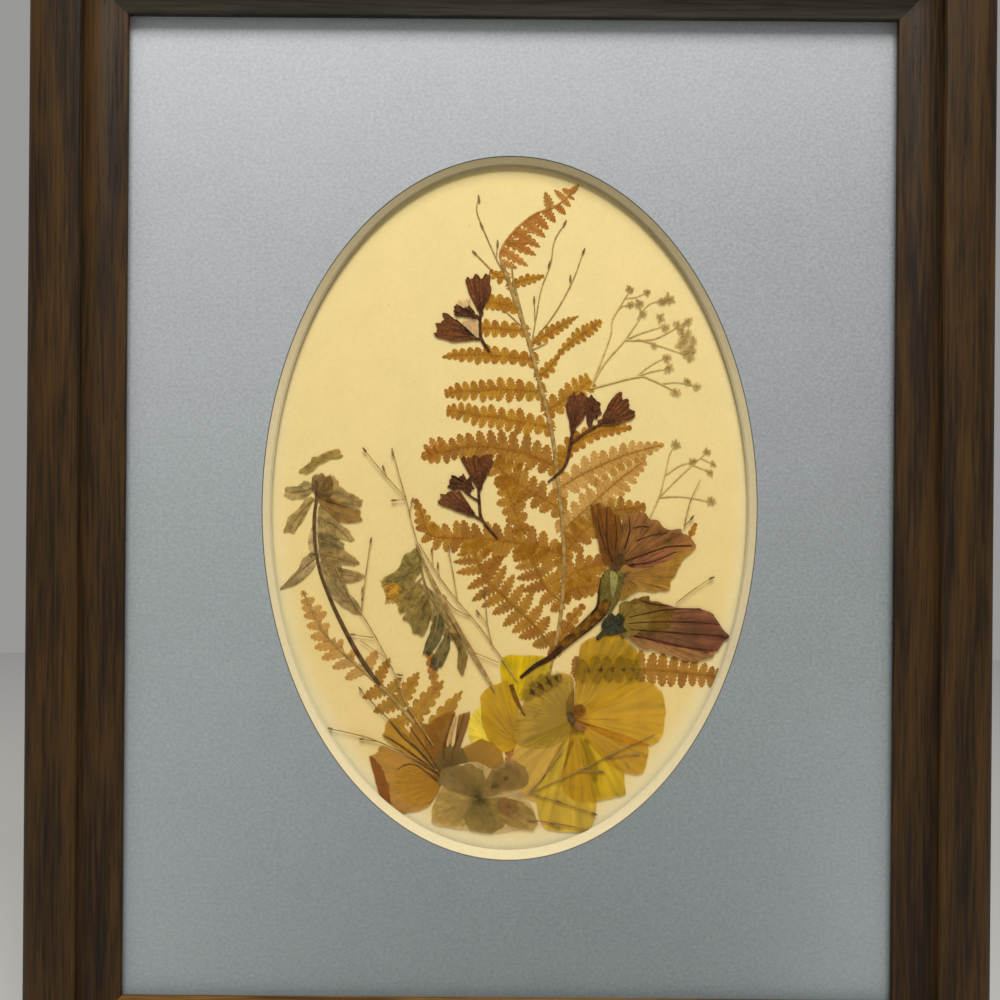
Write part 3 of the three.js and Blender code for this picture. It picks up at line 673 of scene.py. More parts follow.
def stem_tree():
    """Flattened stems that swell and thin along smooth lines."""
    made = Tree("pressed_stem", Step="Float", Flatness="Float", Material="Material")
    curve = made.node("GeometryNodeMeshToCurve", Mesh=made.given("Geometry"))
    curve = made.node("GeometryNodeCurveSplineType", {"spline_type": "CATMULL_ROM"}, Curve=curve)
    curve = made.node("GeometryNodeResampleCurve", {"mode": "LENGTH"}, Curve=curve,
                      Length=made.given("Step"))
    curve = made.node("GeometryNodeSetCurveNormal", {"mode": "Z_UP"}, Curve=curve)
    along = made.node("GeometryNodeSplineParameter")
    curve = made.node("GeometryNodeStoreNamedAttribute", {"data_type": "FLOAT"}, Geometry=curve,
                      Name="along", Value=along)
    width = made.sum("MULTIPLY", made.named("wide"), GRID / 2)
    ring = made.node("GeometryNodeCurvePrimitiveCircle", Resolution=8, Radius=1.0)
    flat = made.node("ShaderNodeCombineXYZ", X=1.0, Y=made.given("Flatness"), Z=1.0)
    ring = made.node("GeometryNodeTransform", Geometry=ring, Scale=flat)
    tube = made.node("GeometryNodeCurveToMesh", Curve=curve, Profile_Curve=ring, Scale=width,
                     Fill_Caps=True)
    return made.finish(tube, made.given("Material"))


def pinnule_row(made, points, shape, side):
    """The pinnules on one side of the midribs, each with a little swing, stretch, lift and tone."""
    seed = made.sum("ADD", made.given("Seed"), 10 * side + 20)
    swing, stretch, lift, tone = [
        made.node("FunctionNodeRandomValue", {"data_type": "FLOAT"}, output=1, _2=low, _3=high,
                  ID=made.node("GeometryNodeInputIndex"), Seed=made.sum("ADD", seed, step))
        for step, low, high in ((0, -0.12, 0.12), (1, 0.84, 1.1), (2, 0.0, 0.00004), (3, 0.0, 1.0))]
    rise = made.node("ShaderNodeCombineXYZ", X=0.0, Y=0.0, Z=lift)
    spread = made.node("GeometryNodeSetPosition", Geometry=points, Offset=rise)
    spread = made.node("GeometryNodeStoreNamedAttribute", {"data_type": "FLOAT"},
                       Geometry=spread, Name="tone", Value=tone)
    lean = made.sum("SUBTRACT", made.sum("ADD", swing, math.pi / 2), made.given("Lean"))
    turn = made.sum("ADD", made.named("heading"), made.sum("MULTIPLY", lean, side))
    turn = made.sum("SUBTRACT", turn, math.pi / 2)
    facing = made.node("ShaderNodeCombineXYZ", X=0.0, Y=0.0, Z=turn)
    long = made.sum("MULTIPLY", made.sum("MULTIPLY", made.named("long"), GRID), stretch)
    size = made.node("ShaderNodeCombineXYZ", X=made.named("wide"), Y=long,
                     Z=made.given("Thickness"))
    return made.node("GeometryNodeInstanceOnPoints", Points=spread, Instance=shape,
                     Rotation=facing, Scale=size)


PATH_STEP = 0.0004
LEAST_ROOM = 0.03


def blade_tree():
    """Pinnules in pairs along each midrib, sized by `reach`, closer and smaller towards the tip."""
    made = Tree("pinnules", Pitch="Float", Fill="Float", Crowding="Float", Lean="Float",
                Thickness="Float", Seed="Int", Pinnule="Object", Material="Material")
    path = made.node("GeometryNodeMeshToCurve", Mesh=made.given("Geometry"))
    path = made.node("GeometryNodeCurveSplineType", {"spline_type": "CATMULL_ROM"}, Curve=path)
    path = made.node("GeometryNodeResampleCurve", {"mode": "LENGTH"}, Curve=path, Length=PATH_STEP)
    pairs = made.sum("DIVIDE", made.node("GeometryNodeSplineLength"), made.given("Pitch"))
    pairs = made.sum("ADD", made.sum("CEIL", pairs, 0.0), 1.0)
    beads = made.node("GeometryNodeResampleCurve", {"mode": "COUNT"}, Curve=path, Count=pairs)
    left = made.sum("SUBTRACT", 1.0, made.node("GeometryNodeSplineParameter"))
    share = made.sum("SUBTRACT", 1.0, made.sum("POWER", left, made.given("Crowding")))
    room = made.sum("POWER", made.sum("MAXIMUM", left, LEAST_ROOM),
                    made.sum("SUBTRACT", made.given("Crowding"), 1.0))
    room = made.sum("MULTIPLY", made.sum("MULTIPLY", room, made.given("Crowding")),
                    made.sum("MULTIPLY", made.given("Pitch"), made.given("Fill")))
    which = made.node("GeometryNodeCurveOfPoint")
    sample = made.node("GeometryNodeSampleCurve", {"mode": "FACTOR"}, Curves=path,
                       Value=made.named("reach"), Factor=share, Curve_Index=which).node
    flow = made.node("ShaderNodeSeparateXYZ", Vector=sample.outputs["Tangent"]).node
    heading = made.sum("ARCTAN2", flow.outputs["Y"], flow.outputs["X"])
    for name, value in (("long", sample.outputs["Value"]), ("wide", room), ("heading", heading)):
        beads = made.node("GeometryNodeStoreNamedAttribute", {"data_type": "FLOAT"},
                          Geometry=beads, Name=name, Value=value)
    beads = made.node("GeometryNodeSetPosition", Geometry=beads, Position=sample.outputs["Position"])
    points = made.node("GeometryNodeCurveToPoints", {"mode": "EVALUATED"}, Curve=beads)
    shape = made.node("GeometryNodeObjectInfo", output=4, Object=made.given("Pinnule"))
    both = made.tree.nodes.new("GeometryNodeJoinGeometry")
    for side in (1, -1):
        made.tree.links.new(pinnule_row(made, points, shape, side), both.inputs[0])
    return made.finish(both.outputs[0], made.given("Material"))


def scatter_tree():
    """One shape set out on points that carry their own turn, length and width."""
    made = Tree("set_out", Thickness="Float", Seed="Int", Shape="Object", Material="Material")
    shape = made.node("GeometryNodeObjectInfo", output=4, Object=made.given("Shape"))
    tone = made.node("FunctionNodeRandomValue", {"data_type": "FLOAT"}, output=1, _2=0.0, _3=1.0,
                     ID=made.node("GeometryNodeInputIndex"), Seed=made.given("Seed"))
    points = made.node("GeometryNodeMeshToPoints", Mesh=made.given("Geometry"))
    points = made.node("GeometryNodeStoreNamedAttribute", {"data_type": "FLOAT"},
                       Geometry=points, Name="tone", Value=tone)
    facing = made.node("ShaderNodeCombineXYZ", X=0.0, Y=0.0, Z=made.named("turn"))
    size = made.node("ShaderNodeCombineXYZ", X=made.named("wide"), Y=made.named("long"),
                     Z=made.given("Thickness"))
    set_out = made.node("GeometryNodeInstanceOnPoints", Points=points, Instance=shape,
                        Rotation=facing, Scale=size)
    return made.finish(set_out, made.given("Material"))


STEMS = stem_tree()
BLADES = blade_tree()
SCATTER = scatter_tree()


def stems(paths, ahead, material, flatness=0.3, step=1.2):
    """Stems along paths of (u, v, width) points."""
    mesh = lines(paths, ahead, wide=2)
    return STEMS.grow(mesh, Step=step * GRID, Flatness=flatness, Material=material)


def set_out(places, ahead, shape, material, thickness=LAYER_T, seed=1):
    """Copies of a shape from each base to its tip, as (u, v, tip u, tip v, width) rows."""
    mesh = bpy.data.meshes.new("places")
    mesh.from_pydata([spot(u, v, ahead + STAGGER * i) for i, (u, v, *_) in enumerate(places)], [], [])
    turns = [math.atan2(v - tv, tu - u) - math.pi / 2 for u, v, tu, tv, _ in places]
    longs = [math.hypot(tu - u, tv - v) * GRID for u, v, tu, tv, _ in places]
    wides = [row[4] * GRID for row in places]
    for name, numbers in (("turn", turns), ("long", longs), ("wide", wides)):
        mesh.attributes.new(name, "FLOAT", "POINT").data.foreach_set("value", numbers)
    return SCATTER.grow(mesh, Thickness=thickness, Seed=seed, Shape=shape, Material=material)


SPINE = [(0, 0.04), (0, 0.3), (0, 0.6), (0, 0.9)]
SPINE_TOP = 0.85
RIM_TOP = 0.35
RIM_RISE = 0.2
CUTOUT_BACK = -0.5


def cutout(name, right_side):
    """A flat closed shape, 1 long and about 1 wide, from the outline of its right half.
    Its front rises a little to a spine."""
    rim = right_side + [(-x, y) for x, y in reversed(right_side) if x > 0]
    count = len(rim)
    points = [(x, y, RIM_TOP + RIM_RISE * (1 - min(1, abs(2 * x)))) for x, y in rim]
    points += [(x, y, CUTOUT_BACK) for x, y in rim] + [(x, y, SPINE_TOP) for x, y in SPINE]
    faces = [list(range(2 * count - 1, count - 1, -1))]
    for i in range(count):
        j = (i + 1) % count
        faces.append([count + i, count + j, j, i])
        near = [min(range(len(SPINE)), key=lambda k: abs(SPINE[k][1] - rim[n][1])) for n in (i, j)]
        top = [i, j, 2 * count + near[1]]
        if near[0] != near[1]:
            top.append(2 * count + near[0])
        faces.append(top)
    mesh = bpy.data.meshes.new(name)
    mesh.from_pydata(points, [], faces)
    for label, axis, gain in (("along", 1, 1.0), ("across", 0, 2.0)):
        numbers = [point[axis] * gain for point in points]
        mesh.attributes.new(label, "FLOAT", "POINT").data.foreach_set("value", numbers)
    return bpy.data.objects.new(name, mesh)


TOOTHED = cutout("toothed_pinnule", [
    (0.82, 0.0), (0.62, 0.12), (0.60, 0.22), (0.62, 0.32), (0.44, 0.38), (0.57, 0.48), (0.57, 0.58),
    (0.38, 0.63), (0.48, 0.72), (0.45, 0.81), (0.25, 0.84), (0.25, 0.94), (0.10, 1.0), (0.0, 0.97)])
CUT = cutout("cut_pinnule", [
    (0.40, 0.0), (0.54, 0.09), (0.60, 0.16), (0.34, 0.20), (0.54, 0.28), (0.58, 0.36), (0.32, 0.40),
    (0.52, 0.48), (0.50, 0.56), (0.28, 0.59), (0.42, 0.68), (0.36, 0.75), (0.20, 0.78), (0.26, 0.88),
    (0.12, 0.90), (0.07, 0.99), (0.0, 0.96)])


def fern_finish(name, pale, deep, dull, opacity):
    """Dried fern: mottled ochre with a darker vein down each pinnule."""
    made = Finish(name, Roughness=0.8, Specular_IOR_Level=0.05, Alpha=opacity)
    tone = made.value("tone")
    vein = 1 - made.band(made.value("across").size(), 0.06, 0.22)
    rim = made.band(made.value("across").size(), 0.6, 1.05)
    patch = made.noise(420, 3)
    grain = made.noise(2400, 2)
    colour = made.mix(made.band(patch * 0.7 + tone * 0.3, 0.3, 0.7), shade(*pale), shade(*deep))
    colour = made.mix(made.band(made.noise(150, 2), 0.52, 0.7) * 0.6, colour, shade(*dull))
    dark = 1.03 - vein * 0.12 - rim * 0.08
    made.feed(made.shader, {"Base_Color": made.scaled(colour, dark * (0.7 + grain * 0.6))})
    made.bump(patch + grain * 0.5 + vein, 0.00012, 0.7)
    return made.material


def stalk_finish(name, pale, deep):
    """A dried stem with fine streaks along it."""
    made = Finish(name, Roughness=0.75, Specular_IOR_Level=0.05)
    streak = made.noise(700, 3)
    knot = made.noise(2600, 2)
    colour = made.mix(made.band(streak, 0.35, 0.65), shade(*pale), shade(*deep))
    made.feed(made.shader, {"Base_Color": made.scaled(colour, 0.85 + knot * 0.3)})
    made.bump(streak + knot, 0.0001, 0.6)
    return made.material


FERN_BLADE = fern_finish("fern_blade", (208, 146, 30), (182, 112, 12), (178, 130, 36), 0.55)
FERN_LOWER = fern_finish("fern_lower", (196, 134, 28), (168, 100, 10), (164, 116, 30), 0.5)
FERN_TIP = fern_finish("fern_tip", (208, 142, 58), (188, 112, 36), (178, 126, 52), 0.55)
FERN_GOLD = fern_finish("fern_gold", (202, 146, 36), (178, 114, 18), (170, 130, 44), 0.52)
FERN_PALE = fern_finish("fern_pale", (226, 170, 78), (208, 144, 54), (200, 156, 82), 0.4)
RACHIS = stalk_finish("fern_rachis", (182, 146, 86), (146, 112, 60))
MIDRIB = stalk_finish("fern_midrib", (160, 106, 42), (136, 84, 28))
TIP_STALK = stalk_finish("fern_tip_stalk", (190, 132, 66), (160, 102, 44))

# Single pinnules are rows of (u, v, tip u, tip v, width). Pinnae are midribs, as paths of
# (u, v, reach of the pinnules beside that point), and stems are paths of (u, v, width).
TIP_LOBES = [
    (568, 193, 560, 188, 6), (563, 199, 552, 189, 6), (549, 209, 543, 191, 9), (566, 195, 573, 199, 4),
    (561, 199, 569, 206, 6), (555, 205, 564, 214, 7), (543, 209, 554, 222, 9), (532, 215, 547, 229, 10),
    (523, 221, 544, 237, 10), (513, 231, 539, 247, 10), (505, 240, 535, 255, 10),
    (501, 250, 527, 266, 9), (500, 262, 516, 268, 7), (513, 230, 530, 232, 6), (506, 243, 528, 243, 6),
    (569, 192, 577, 184, 6),
]
FORKED_TIP = [(446, 450, 438, 437, 7), (438, 452, 430, 438, 7), (432, 454, 424, 445, 6),
              (428, 455, 421, 458, 5), (436, 454, 430, 464, 6)]
SMALL_PINNAE = [
    [(506, 276, 5), (498, 277, 7), (490, 272, 3)],
    [(508, 286, 4), (520, 281, 6), (532, 278, 5), (541, 276, 2)],
    [(530, 344, 4), (546, 334, 7), (562, 324, 6), (576, 316, 1)],
    [(537, 376, 6), (547, 369, 7), (556, 357, 3), (566, 345, 6), (580, 334, 8), (592, 326, 7),
     (599, 321, 3)],
    [(690, 536, 2), (693, 529, 4), (696, 523, 2)],
]
UPPER_PINNAE = [
    [(514, 307, 8), (500, 303, 9), (487, 303, 8)],
    [(524, 330, 7), (505, 329, 10), (488, 328, 10), (481, 328, 7)],
    [(533, 360, 8), (515, 357, 9), (490, 355, 10), (470, 355, 9), (455, 355, 6), (444, 357, 2)],
    [(541, 392, 10), (520, 390, 13), (500, 389, 12), (480, 391, 11), (462, 391, 10), (447, 394, 5)],
    [(550, 427, 9), (525, 422, 13), (500, 418, 13), (475, 415, 12), (460, 412, 10), (449, 411, 6)],
    [(546, 410, 12), (560, 402, 14), (575, 392, 14), (588, 381, 10)],
    [(557, 470, 7), (568, 448, 10), (590, 434, 9), (610, 428, 8), (629, 427, 3)],
]
MIDDLE_PINNAE = [
    [(557, 465, 13), (530, 455, 19), (505, 449, 19), (480, 446, 17), (455, 449, 13), (440, 453, 11),
     (425, 456, 5)],
    [(561, 508, 12), (535, 493, 17), (510, 477, 17), (495, 464, 10)],
    [(522, 530, 10), (512, 502, 15), (503, 478, 8)],
    [(564, 556, 12), (540, 546, 18), (500, 540, 19), (460, 538, 17), (432, 536, 12), (424, 520, 9),
     (417, 502, 3)],
    [(559, 488, 12), (585, 472, 16), (620, 456, 14), (645, 448, 9), (661, 444, 3)],
    [(563, 530, 13), (590, 505, 17), (620, 478, 15), (643, 461, 5)],
    [(565, 552, 12), (590, 525, 17), (615, 510, 15), (643, 506, 5)],
    [(565, 578, 14), (582, 568, 16), (604, 564, 10)], [(565, 592, 10), (582, 586, 13), (604, 584, 8)],
    [(558, 646, 7), (568, 626, 9), (583, 606, 4)],
]
CUT_PINNAE = [
    [(556, 652, 8), (543, 634, 18), (530, 619, 24), (507, 598, 26), (487, 578, 26), (478, 560, 24),
     (472, 545, 12)],
    [(564, 602, 14), (548, 588, 22), (536, 566, 22), (524, 548, 12)],
]
TIP_RACHIS = [(577, 185, 1), (566, 196, 1.6), (553, 206, 1.8), (531, 215, 2), (510, 234, 2.4),
              (499, 253, 2.8), (503, 268, 2)]
MAIN_RACHIS = [
    (499, 250, 1.6), (500, 262, 3), (505, 275, 4),
    (514, 300, 4.2), (527, 338, 4.3), (537, 375, 4.2), (546, 408, 4.1), (553, 440, 4.1), (558, 478, 4),
    (563, 525, 4), (565, 565, 4), (563, 605, 3.8), (558, 640, 3.6), (552, 668, 3.2), (545, 700, 2.6),
    (536, 719, 2),
]


CROWDING = 1.2


def pinnae(paths, ahead, pitch, pinnule, blade, seed, fill=0.82, lean=14):
    """Pinnules, the narrow web that joins them, and the midrib, for a list of paths."""
    pinnules = BLADES.grow(
        lines(paths, ahead, reach=2), Pitch=pitch * GRID, Fill=fill, Crowding=CROWDING,
        Lean=math.radians(lean), Thickness=LAYER_T * 0.5, Seed=seed, Pinnule=pinnule,
        Material=blade)

    def along_paths(base, gain):
        return [[(u, v, base + gain * reach) for u, v, reach in path] for path in paths]

    return [pinnules, stems(along_paths(0.8, 0.1), ahead + 2 * LIFT, blade, 0.12, 3),
            stems(along_paths(0.5, 0.02), ahead + 5 * LIFT, MIDRIB)]


def leaflets(places, ahead, shape, material, seed):
    """Single pinnules that are set out one by one."""
    return set_out(places, ahead, shape, material, LAYER_T * 0.6, seed)


fern_rear = rear_of("fern_frond") + LAYER_T * 0.3
frond = [leaflets(TIP_LOBES, fern_rear, CUT, FERN_TIP, 1)]
frond.append(leaflets(FORKED_TIP, fern_rear + 2 * LIFT, TOOTHED, FERN_TIP, 12))
frond += pinnae(SMALL_PINNAE, fern_rear, 6, TOOTHED, FERN_BLADE, 5, 0.82)
frond += pinnae(UPPER_PINNAE, fern_rear, 8.8, TOOTHED, FERN_BLADE, 2, 0.78)
frond += pinnae(MIDDLE_PINNAE[:4], fern_rear, 10, TOOTHED, FERN_LOWER, 3, 0.8)
frond += pinnae(MIDDLE_PINNAE[4:6], fern_rear, 10, TOOTHED, FERN_PALE, 3, 0.78)
frond += pinnae(MIDDLE_PINNAE[6:], fern_rear, 10, TOOTHED, FERN_LOWER, 4, 0.8)
frond += pinnae(CUT_PINNAE, fern_rear + 3 * LIFT, 12.0, CUT, FERN_LOWER, 4)
frond.append(stems([MAIN_RACHIS], fern_rear + 8 * LIFT, RACHIS, 0.35))
frond.append(stems([TIP_RACHIS], fern_rear + 7 * LIFT, TIP_STALK, 0.35))
frond.append(stems([[(510, 262, 1.5), (512, 280, 2), (517, 300, 2.5), (525, 330, 2)],
                    [(503, 310, 1.2), (516, 322, 1.4), (530, 335, 1)]], fern_rear + 6 * LIFT, RACHIS))
press("fern_frond", "leaf", frond)

LEFT_SPRIG = [(304, 592, 1.5), (313, 611, 1.8), (324, 632, 2.2), (343, 652, 2.6), (370, 676, 3.2),
              (400, 705, 3.6), (430, 742, 4), (443, 773, 3.4)]
LEFT_SMALL = [
    (306, 597, 303, 592, 5), (310, 603, 302, 603, 6), (313, 610, 303, 609, 7), (317, 617, 305, 617, 7),
    (323, 627, 308, 627, 8), (330, 637, 312, 638, 9), (338, 645, 316, 649, 9), (346, 652, 323, 660, 9),
    (356, 661, 334, 669, 9), (365, 670, 347, 680, 9), (309, 603, 316, 600, 6), (314, 613, 323, 607, 7),
    (318, 620, 328, 613, 7), (323, 630, 331, 625, 7), (340, 648, 344, 640, 6), (366, 673, 379, 651, 10),
    (352, 658, 358, 648, 6),
]
LEFT_LARGE = [
    (387, 689, 364, 699, 13), (401, 702, 375, 713, 14), (415, 716, 391, 727, 13),
    (378, 683, 392, 658, 11), (390, 694, 403, 678, 11), (400, 705, 421, 672, 16),
    (413, 720, 446, 680, 18), (427, 738, 465, 690, 16),
]
sprig_rear = rear_of("fern_sprig_left") + LAYER_T * 0.3
press("fern_sprig_left", "leaf", [
    leaflets(LEFT_SMALL, sprig_rear, TOOTHED, FERN_PALE, 5),
    leaflets(LEFT_LARGE, sprig_rear, CUT, FERN_GOLD, 6),
    stems([LEFT_SPRIG], sprig_rear + 5 * LIFT, RACHIS)])

RIGHT_SPRIG = [(580, 671, 15), (600, 669, 17), (640, 668, 18), (680, 670, 17), (718, 675, 10)]
right_rear = rear_of("fern_sprig_right") + LAYER_T * 0.3
press("fern_sprig_right", "leaf",
      pinnae([RIGHT_SPRIG], right_rear, 11.5, TOOTHED, FERN_LOWER, 7, 0.74, 4))
press("fern_scrap_upper", "leaf", [leaflets(
    [(385, 592, 403, 586, 15), (387, 598, 402, 600, 10)], rear_of("fern_scrap_upper"), TOOTHED,
    FERN_GOLD, 8)])
press("fern_scrap_lower", "leaf", pinnae(
    [[(431, 655, 4), (434, 668, 6), (437, 687, 3)]], rear_of("fern_scrap_lower"), 7, TOOTHED,
    FERN_TIP, 9))
press("fern_scrap_foot", "leaf", pinnae(
    [[(516, 735, 4), (513, 752, 6), (509, 772, 3)]], rear_of("fern_scrap_foot"), 6, TOOTHED,
    FERN_TIP, 10))


# ---- Yellow flowers --------------------------------------------------------------------------
# Thin petals that have faded to translucent gold, so that overlaps look darker. The right-hand
# flower opens from a small dark eye with an orange halo.
def rounded(outline, steps=4):
    """A closed Catmull-Rom line through an outline; a point given twice stays a sharp corner."""
    count = len(outline)
    line = []
    for i in range(count):
        before, first, second, after = (Vector(outline[(i + k) % count]) for k in (-1, 0, 1, 2))
        if (second - first).length < 1e-6:
            continue
        for step in range(steps):
            t = step / steps
            line.append(0.5 * (2 * first + (second - before) * t
                               + (2 * before - 5 * first + 4 * second - after) * t ** 2
                               + (3 * first - before - 3 * second + after) * t ** 3))
    return line


class Petals:
    """Thin closed petals or leaf lobes, each spread out from a heart point, in one mesh."""

    RINGS = (0.12, 0.25, 0.4, 0.55, 0.7, 0.85, 1.0)
    THICK = 0.000004
    STEP = 0.000014
    CREASE = math.radians(40)
    SEED = 7

    def __init__(self, ahead, ragged):
        self.ahead = ahead
        self.ragged = ragged
        self.layers = 0
        self.points, self.faces = [], []
        self.along, self.around, self.kind, self.colour = [], [], [], []
        self.chance = random.Random(self.SEED)

    def point(self, where, height, along, around):
        self.points.append((where.x, where.y, height))
        self.along.append(along)
        self.around.append(around)
        self.kind.append(self.petal_seed)
        self.colour += [a + (b - a) * along for a, b in zip(self.inner, self.outer)]
        return len(self.points) - 1

    def rim(self, middle, outline):
        """The outline made smooth and a little ragged, from its point nearest the heart."""
        edge = [spot(*point) for point in rounded(outline)]
        waves = [(self.chance.uniform(0.7, 1.9), self.chance.uniform(0, 6)) for _ in range(3)]
        for i, place in enumerate(edge):
            wave = sum(math.sin(pace * i + start) for pace, start in waves)
            edge[i] = place + (place - middle).normalized() * wave * self.ragged * GRID
        area = sum(a.x * b.y - b.x * a.y for a, b in zip(edge, edge[1:] + edge[:1]))
        if area < 0:
            edge.reverse()
        start = min(range(len(edge)), key=lambda i: (edge[i] - middle).length)
        return edge[start:] + edge[:start]

    def turns(self, middle, edge):
        """Each rim point's direction from the heart, without a jump at half a turn."""
        angles = []
        for place in edge:
            angle = math.atan2(place.y - middle.y, place.x - middle.x)
            if angles:
                angle += 2 * math.pi * round((angles[-1] - angle) / (2 * math.pi))
            angles.append(angle)
        return angles

    def add(self, heart, outline, colour, inner=None):
        """One petal, laid over those before it, from the heart's colour to the rim's."""
        self.petal_seed = self.chance.random() * 50
        self.outer = shade(*colour)
        self.inner = shade(*(inner or colour))
        middle = spot(*heart)
        edge = self.rim(middle, outline)
        angles = self.turns(middle, edge)
        base = self.ahead + self.STEP * self.layers
        self.layers += 1
        top, bottom = base + self.THICK, base - self.THICK
        centre = self.point(middle, top, 0.0, angles[0])
        rings = [[self.point(middle.lerp(place, share), top, share, angle)
                  for place, angle in zip(edge, angles)] for share in self.RINGS]
        back = [self.point(place, bottom, 1.0, angle) for place, angle in zip(edge, angles)]
        back_centre = self.point(middle, bottom, 0.0, angles[0])
        pairs = [(i, (i + 1) % len(edge)) for i in range(len(edge))]
        for i, j in pairs:
            self.faces.append((centre, rings[0][i], rings[0][j]))
            for inner_ring, outer_ring in zip(rings, rings[1:]):
                self.faces.append((inner_ring[i], outer_ring[i], outer_ring[j], inner_ring[j]))
        for i, j in pairs:
            self.faces.append((rings[-1][i], back[i], back[j], rings[-1][j]))
            self.faces.append((back_centre, back[j], back[i]))

    def mesh(self, name, material):
        made = bpy.data.meshes.new(name)
        made.from_pydata(self.points, [], self.faces)
        for label, numbers in (("along", self.along), ("around", self.around), ("kind", self.kind)):
            made.attributes.new(label, "FLOAT", "POINT").data.foreach_set("value", numbers)
        made.attributes.new("petal", "FLOAT_COLOR", "POINT").data.foreach_set("color", self.colour)
        made.polygons.foreach_set("use_smooth", [True] * len(made.polygons))
        made.set_sharp_from_angle(angle=self.CREASE)
        made.materials.append(material)
        return made


def petals(name, ahead, rows, material, ragged=0.25):
    """A bed of petals or lobes, each as its heart, outline, rim colour and heart colour."""
    bed = Petals(ahead, ragged)
    for row in rows:
        bed.add(*row)
    return bed.mesh(name, material)


def petal_finish(name, opacity, gain, veins, contrast, spots=0.7, heart=None, reach=0.3):
    """Dried petal: its own colour, streaked and veined from the heart outwards, and mottled."""
    made = Finish(name, Roughness=0.75, Specular_IOR_Level=0.05, Alpha=opacity)
    own = made.node("Attribute", {"attribute_name": "petal"})
    along, around = made.value("along"), made.value("around")
    fan = made.node("CombineXYZ", X=along * 2.0, Y=around * veins, Z=made.value("kind"))
    streak = made.node("TexNoise", Vector=fan, Scale=1.0, Detail=3.0) - 0.5
    vein = made.band((around * veins * 2.2 + streak * 2 + made.value("kind")).sine(), 0.7, 0.98)
    mottle = made.noise(600, 3) - 0.5
    cloud = made.noise(190, 3) - 0.5
    tone = 1.0 + (streak * 2.1 + mottle * spots + cloud * 1.3 - vein * 0.16) * contrast
    colour = made.scaled(own, tone * gain)
    if heart:
        dark = (1 - made.band(along + mottle * 0.15, 0.03, reach)) * 0.85
        colour = made.mix(dark, colour, shade(*heart))
    made.feed(made.shader, {"Base_Color": colour})
    made.bump(streak + mottle, 0.00006, 0.5)
    return made.material


YELLOW = petal_finish("yellow_petal", 0.58, 1.75, 12, 0.5)
YELLOW_HEART = petal_finish("yellow_petal_heart", 0.54, 1.7, 14, 0.5, 0.6, (156, 88, 4), 0.2)
EYE = petal_finish("flower_eye", 0.75, 1.0, 9, 0.9)

LEFT_YELLOW = [
    ((535, 690), [(502, 670), (503, 658), (503, 657), (512, 655), (524, 655), (538, 655), (551, 658),
                  (553, 668), (549, 688), (538, 698), (524, 700), (508, 690)],
     (179, 146, 7), (145, 115, 17)),
    ((512, 712), [(503, 672), (504, 658), (520, 656), (531, 658), (528, 672), (524, 690), (514, 700),
                  (506, 688)], (187, 154, 5)),
    ((500, 742), [(484, 706), (476, 712), (471, 722), (471, 735), (474, 742), (484, 743), (496, 742),
                  (500, 728), (494, 714)], (199, 173, 51)),
    ((520, 742), [(500, 684), (508, 680), (515, 688), (521, 710), (522, 735), (516, 748), (505, 752),
                  (497, 746), (490, 738), (485, 726), (483, 710), (483, 696), (490, 687)],
     (170, 130, 7), (147, 103, 9)),
]
press("yellow_petals_left", "leaf", [
    petals("left_yellow", rear_of("yellow_petals_left") + 3 * LIFT, LEFT_YELLOW, YELLOW)])

EYE_SPOT = (576, 718)
RIGHT_YELLOW = [
    (EYE_SPOT, [(574, 727), (556, 736), (536, 740), (520, 744), (515, 756), (517, 772), (520, 788),
                (528, 796), (538, 800), (552, 798), (568, 784), (577, 764), (580, 740)],
     (176, 138, 52)),
    (EYE_SPOT, [(574, 735), (556, 760), (545, 780), (538, 792), (540, 806), (543, 820), (550, 828),
                (564, 831), (580, 831), (592, 827), (597, 819), (599, 806), (600, 790), (596, 765),
                (586, 740)], (178, 144, 37)),
    (EYE_SPOT, [(580, 735), (570, 760), (564, 776), (566, 790), (576, 799), (588, 801), (600, 800),
                (604, 786), (602, 768), (594, 748)], (166, 122, 15)),
    (EYE_SPOT, [(590, 744), (600, 762), (600, 770), (600, 785), (600, 799), (608, 798), (618, 796),
                (628, 793), (627, 782), (626, 771), (614, 758), (600, 746)], (176, 142, 5)),
    (EYE_SPOT, [(571, 722), (568, 712), (568, 702), (572, 692), (576, 686), (574, 676), (566, 672),
                (556, 674), (546, 676), (536, 683), (530, 694), (524, 706), (519, 718), (516, 732),
                (520, 744), (538, 748), (558, 744), (572, 730)], (156, 120, 30), (128, 98, 20)),
    (EYE_SPOT, [(586, 728), (592, 742), (604, 756), (616, 766), (628, 771), (638, 773), (645, 771),
                (648, 764), (650, 754), (650, 746), (638, 741), (618, 735), (600, 730)],
     (166, 122, 15)),
    (EYE_SPOT, [(577, 712), (577, 698), (577, 684), (578, 670), (580, 658), (581, 650), (583, 643),
                (592, 637), (604, 634), (618, 634), (628, 639), (637, 647), (641, 658), (642, 668),
                (641, 680), (630, 690), (616, 698), (600, 706), (588, 713)],
     (152, 114, 9), (172, 128, 16)),
    (EYE_SPOT, [(580, 715), (592, 704), (606, 694), (622, 687), (636, 682), (648, 680), (657, 684),
                (664, 692), (667, 703), (667, 716), (665, 730), (660, 739), (650, 744), (636, 741),
                (618, 735), (600, 730), (586, 725)], (174, 132, 20), (172, 126, 12)),
    (EYE_SPOT, [(588, 725), (604, 727), (622, 732), (640, 739), (652, 743), (640, 744), (620, 739),
                (602, 733)], (162, 107, 7)),
]
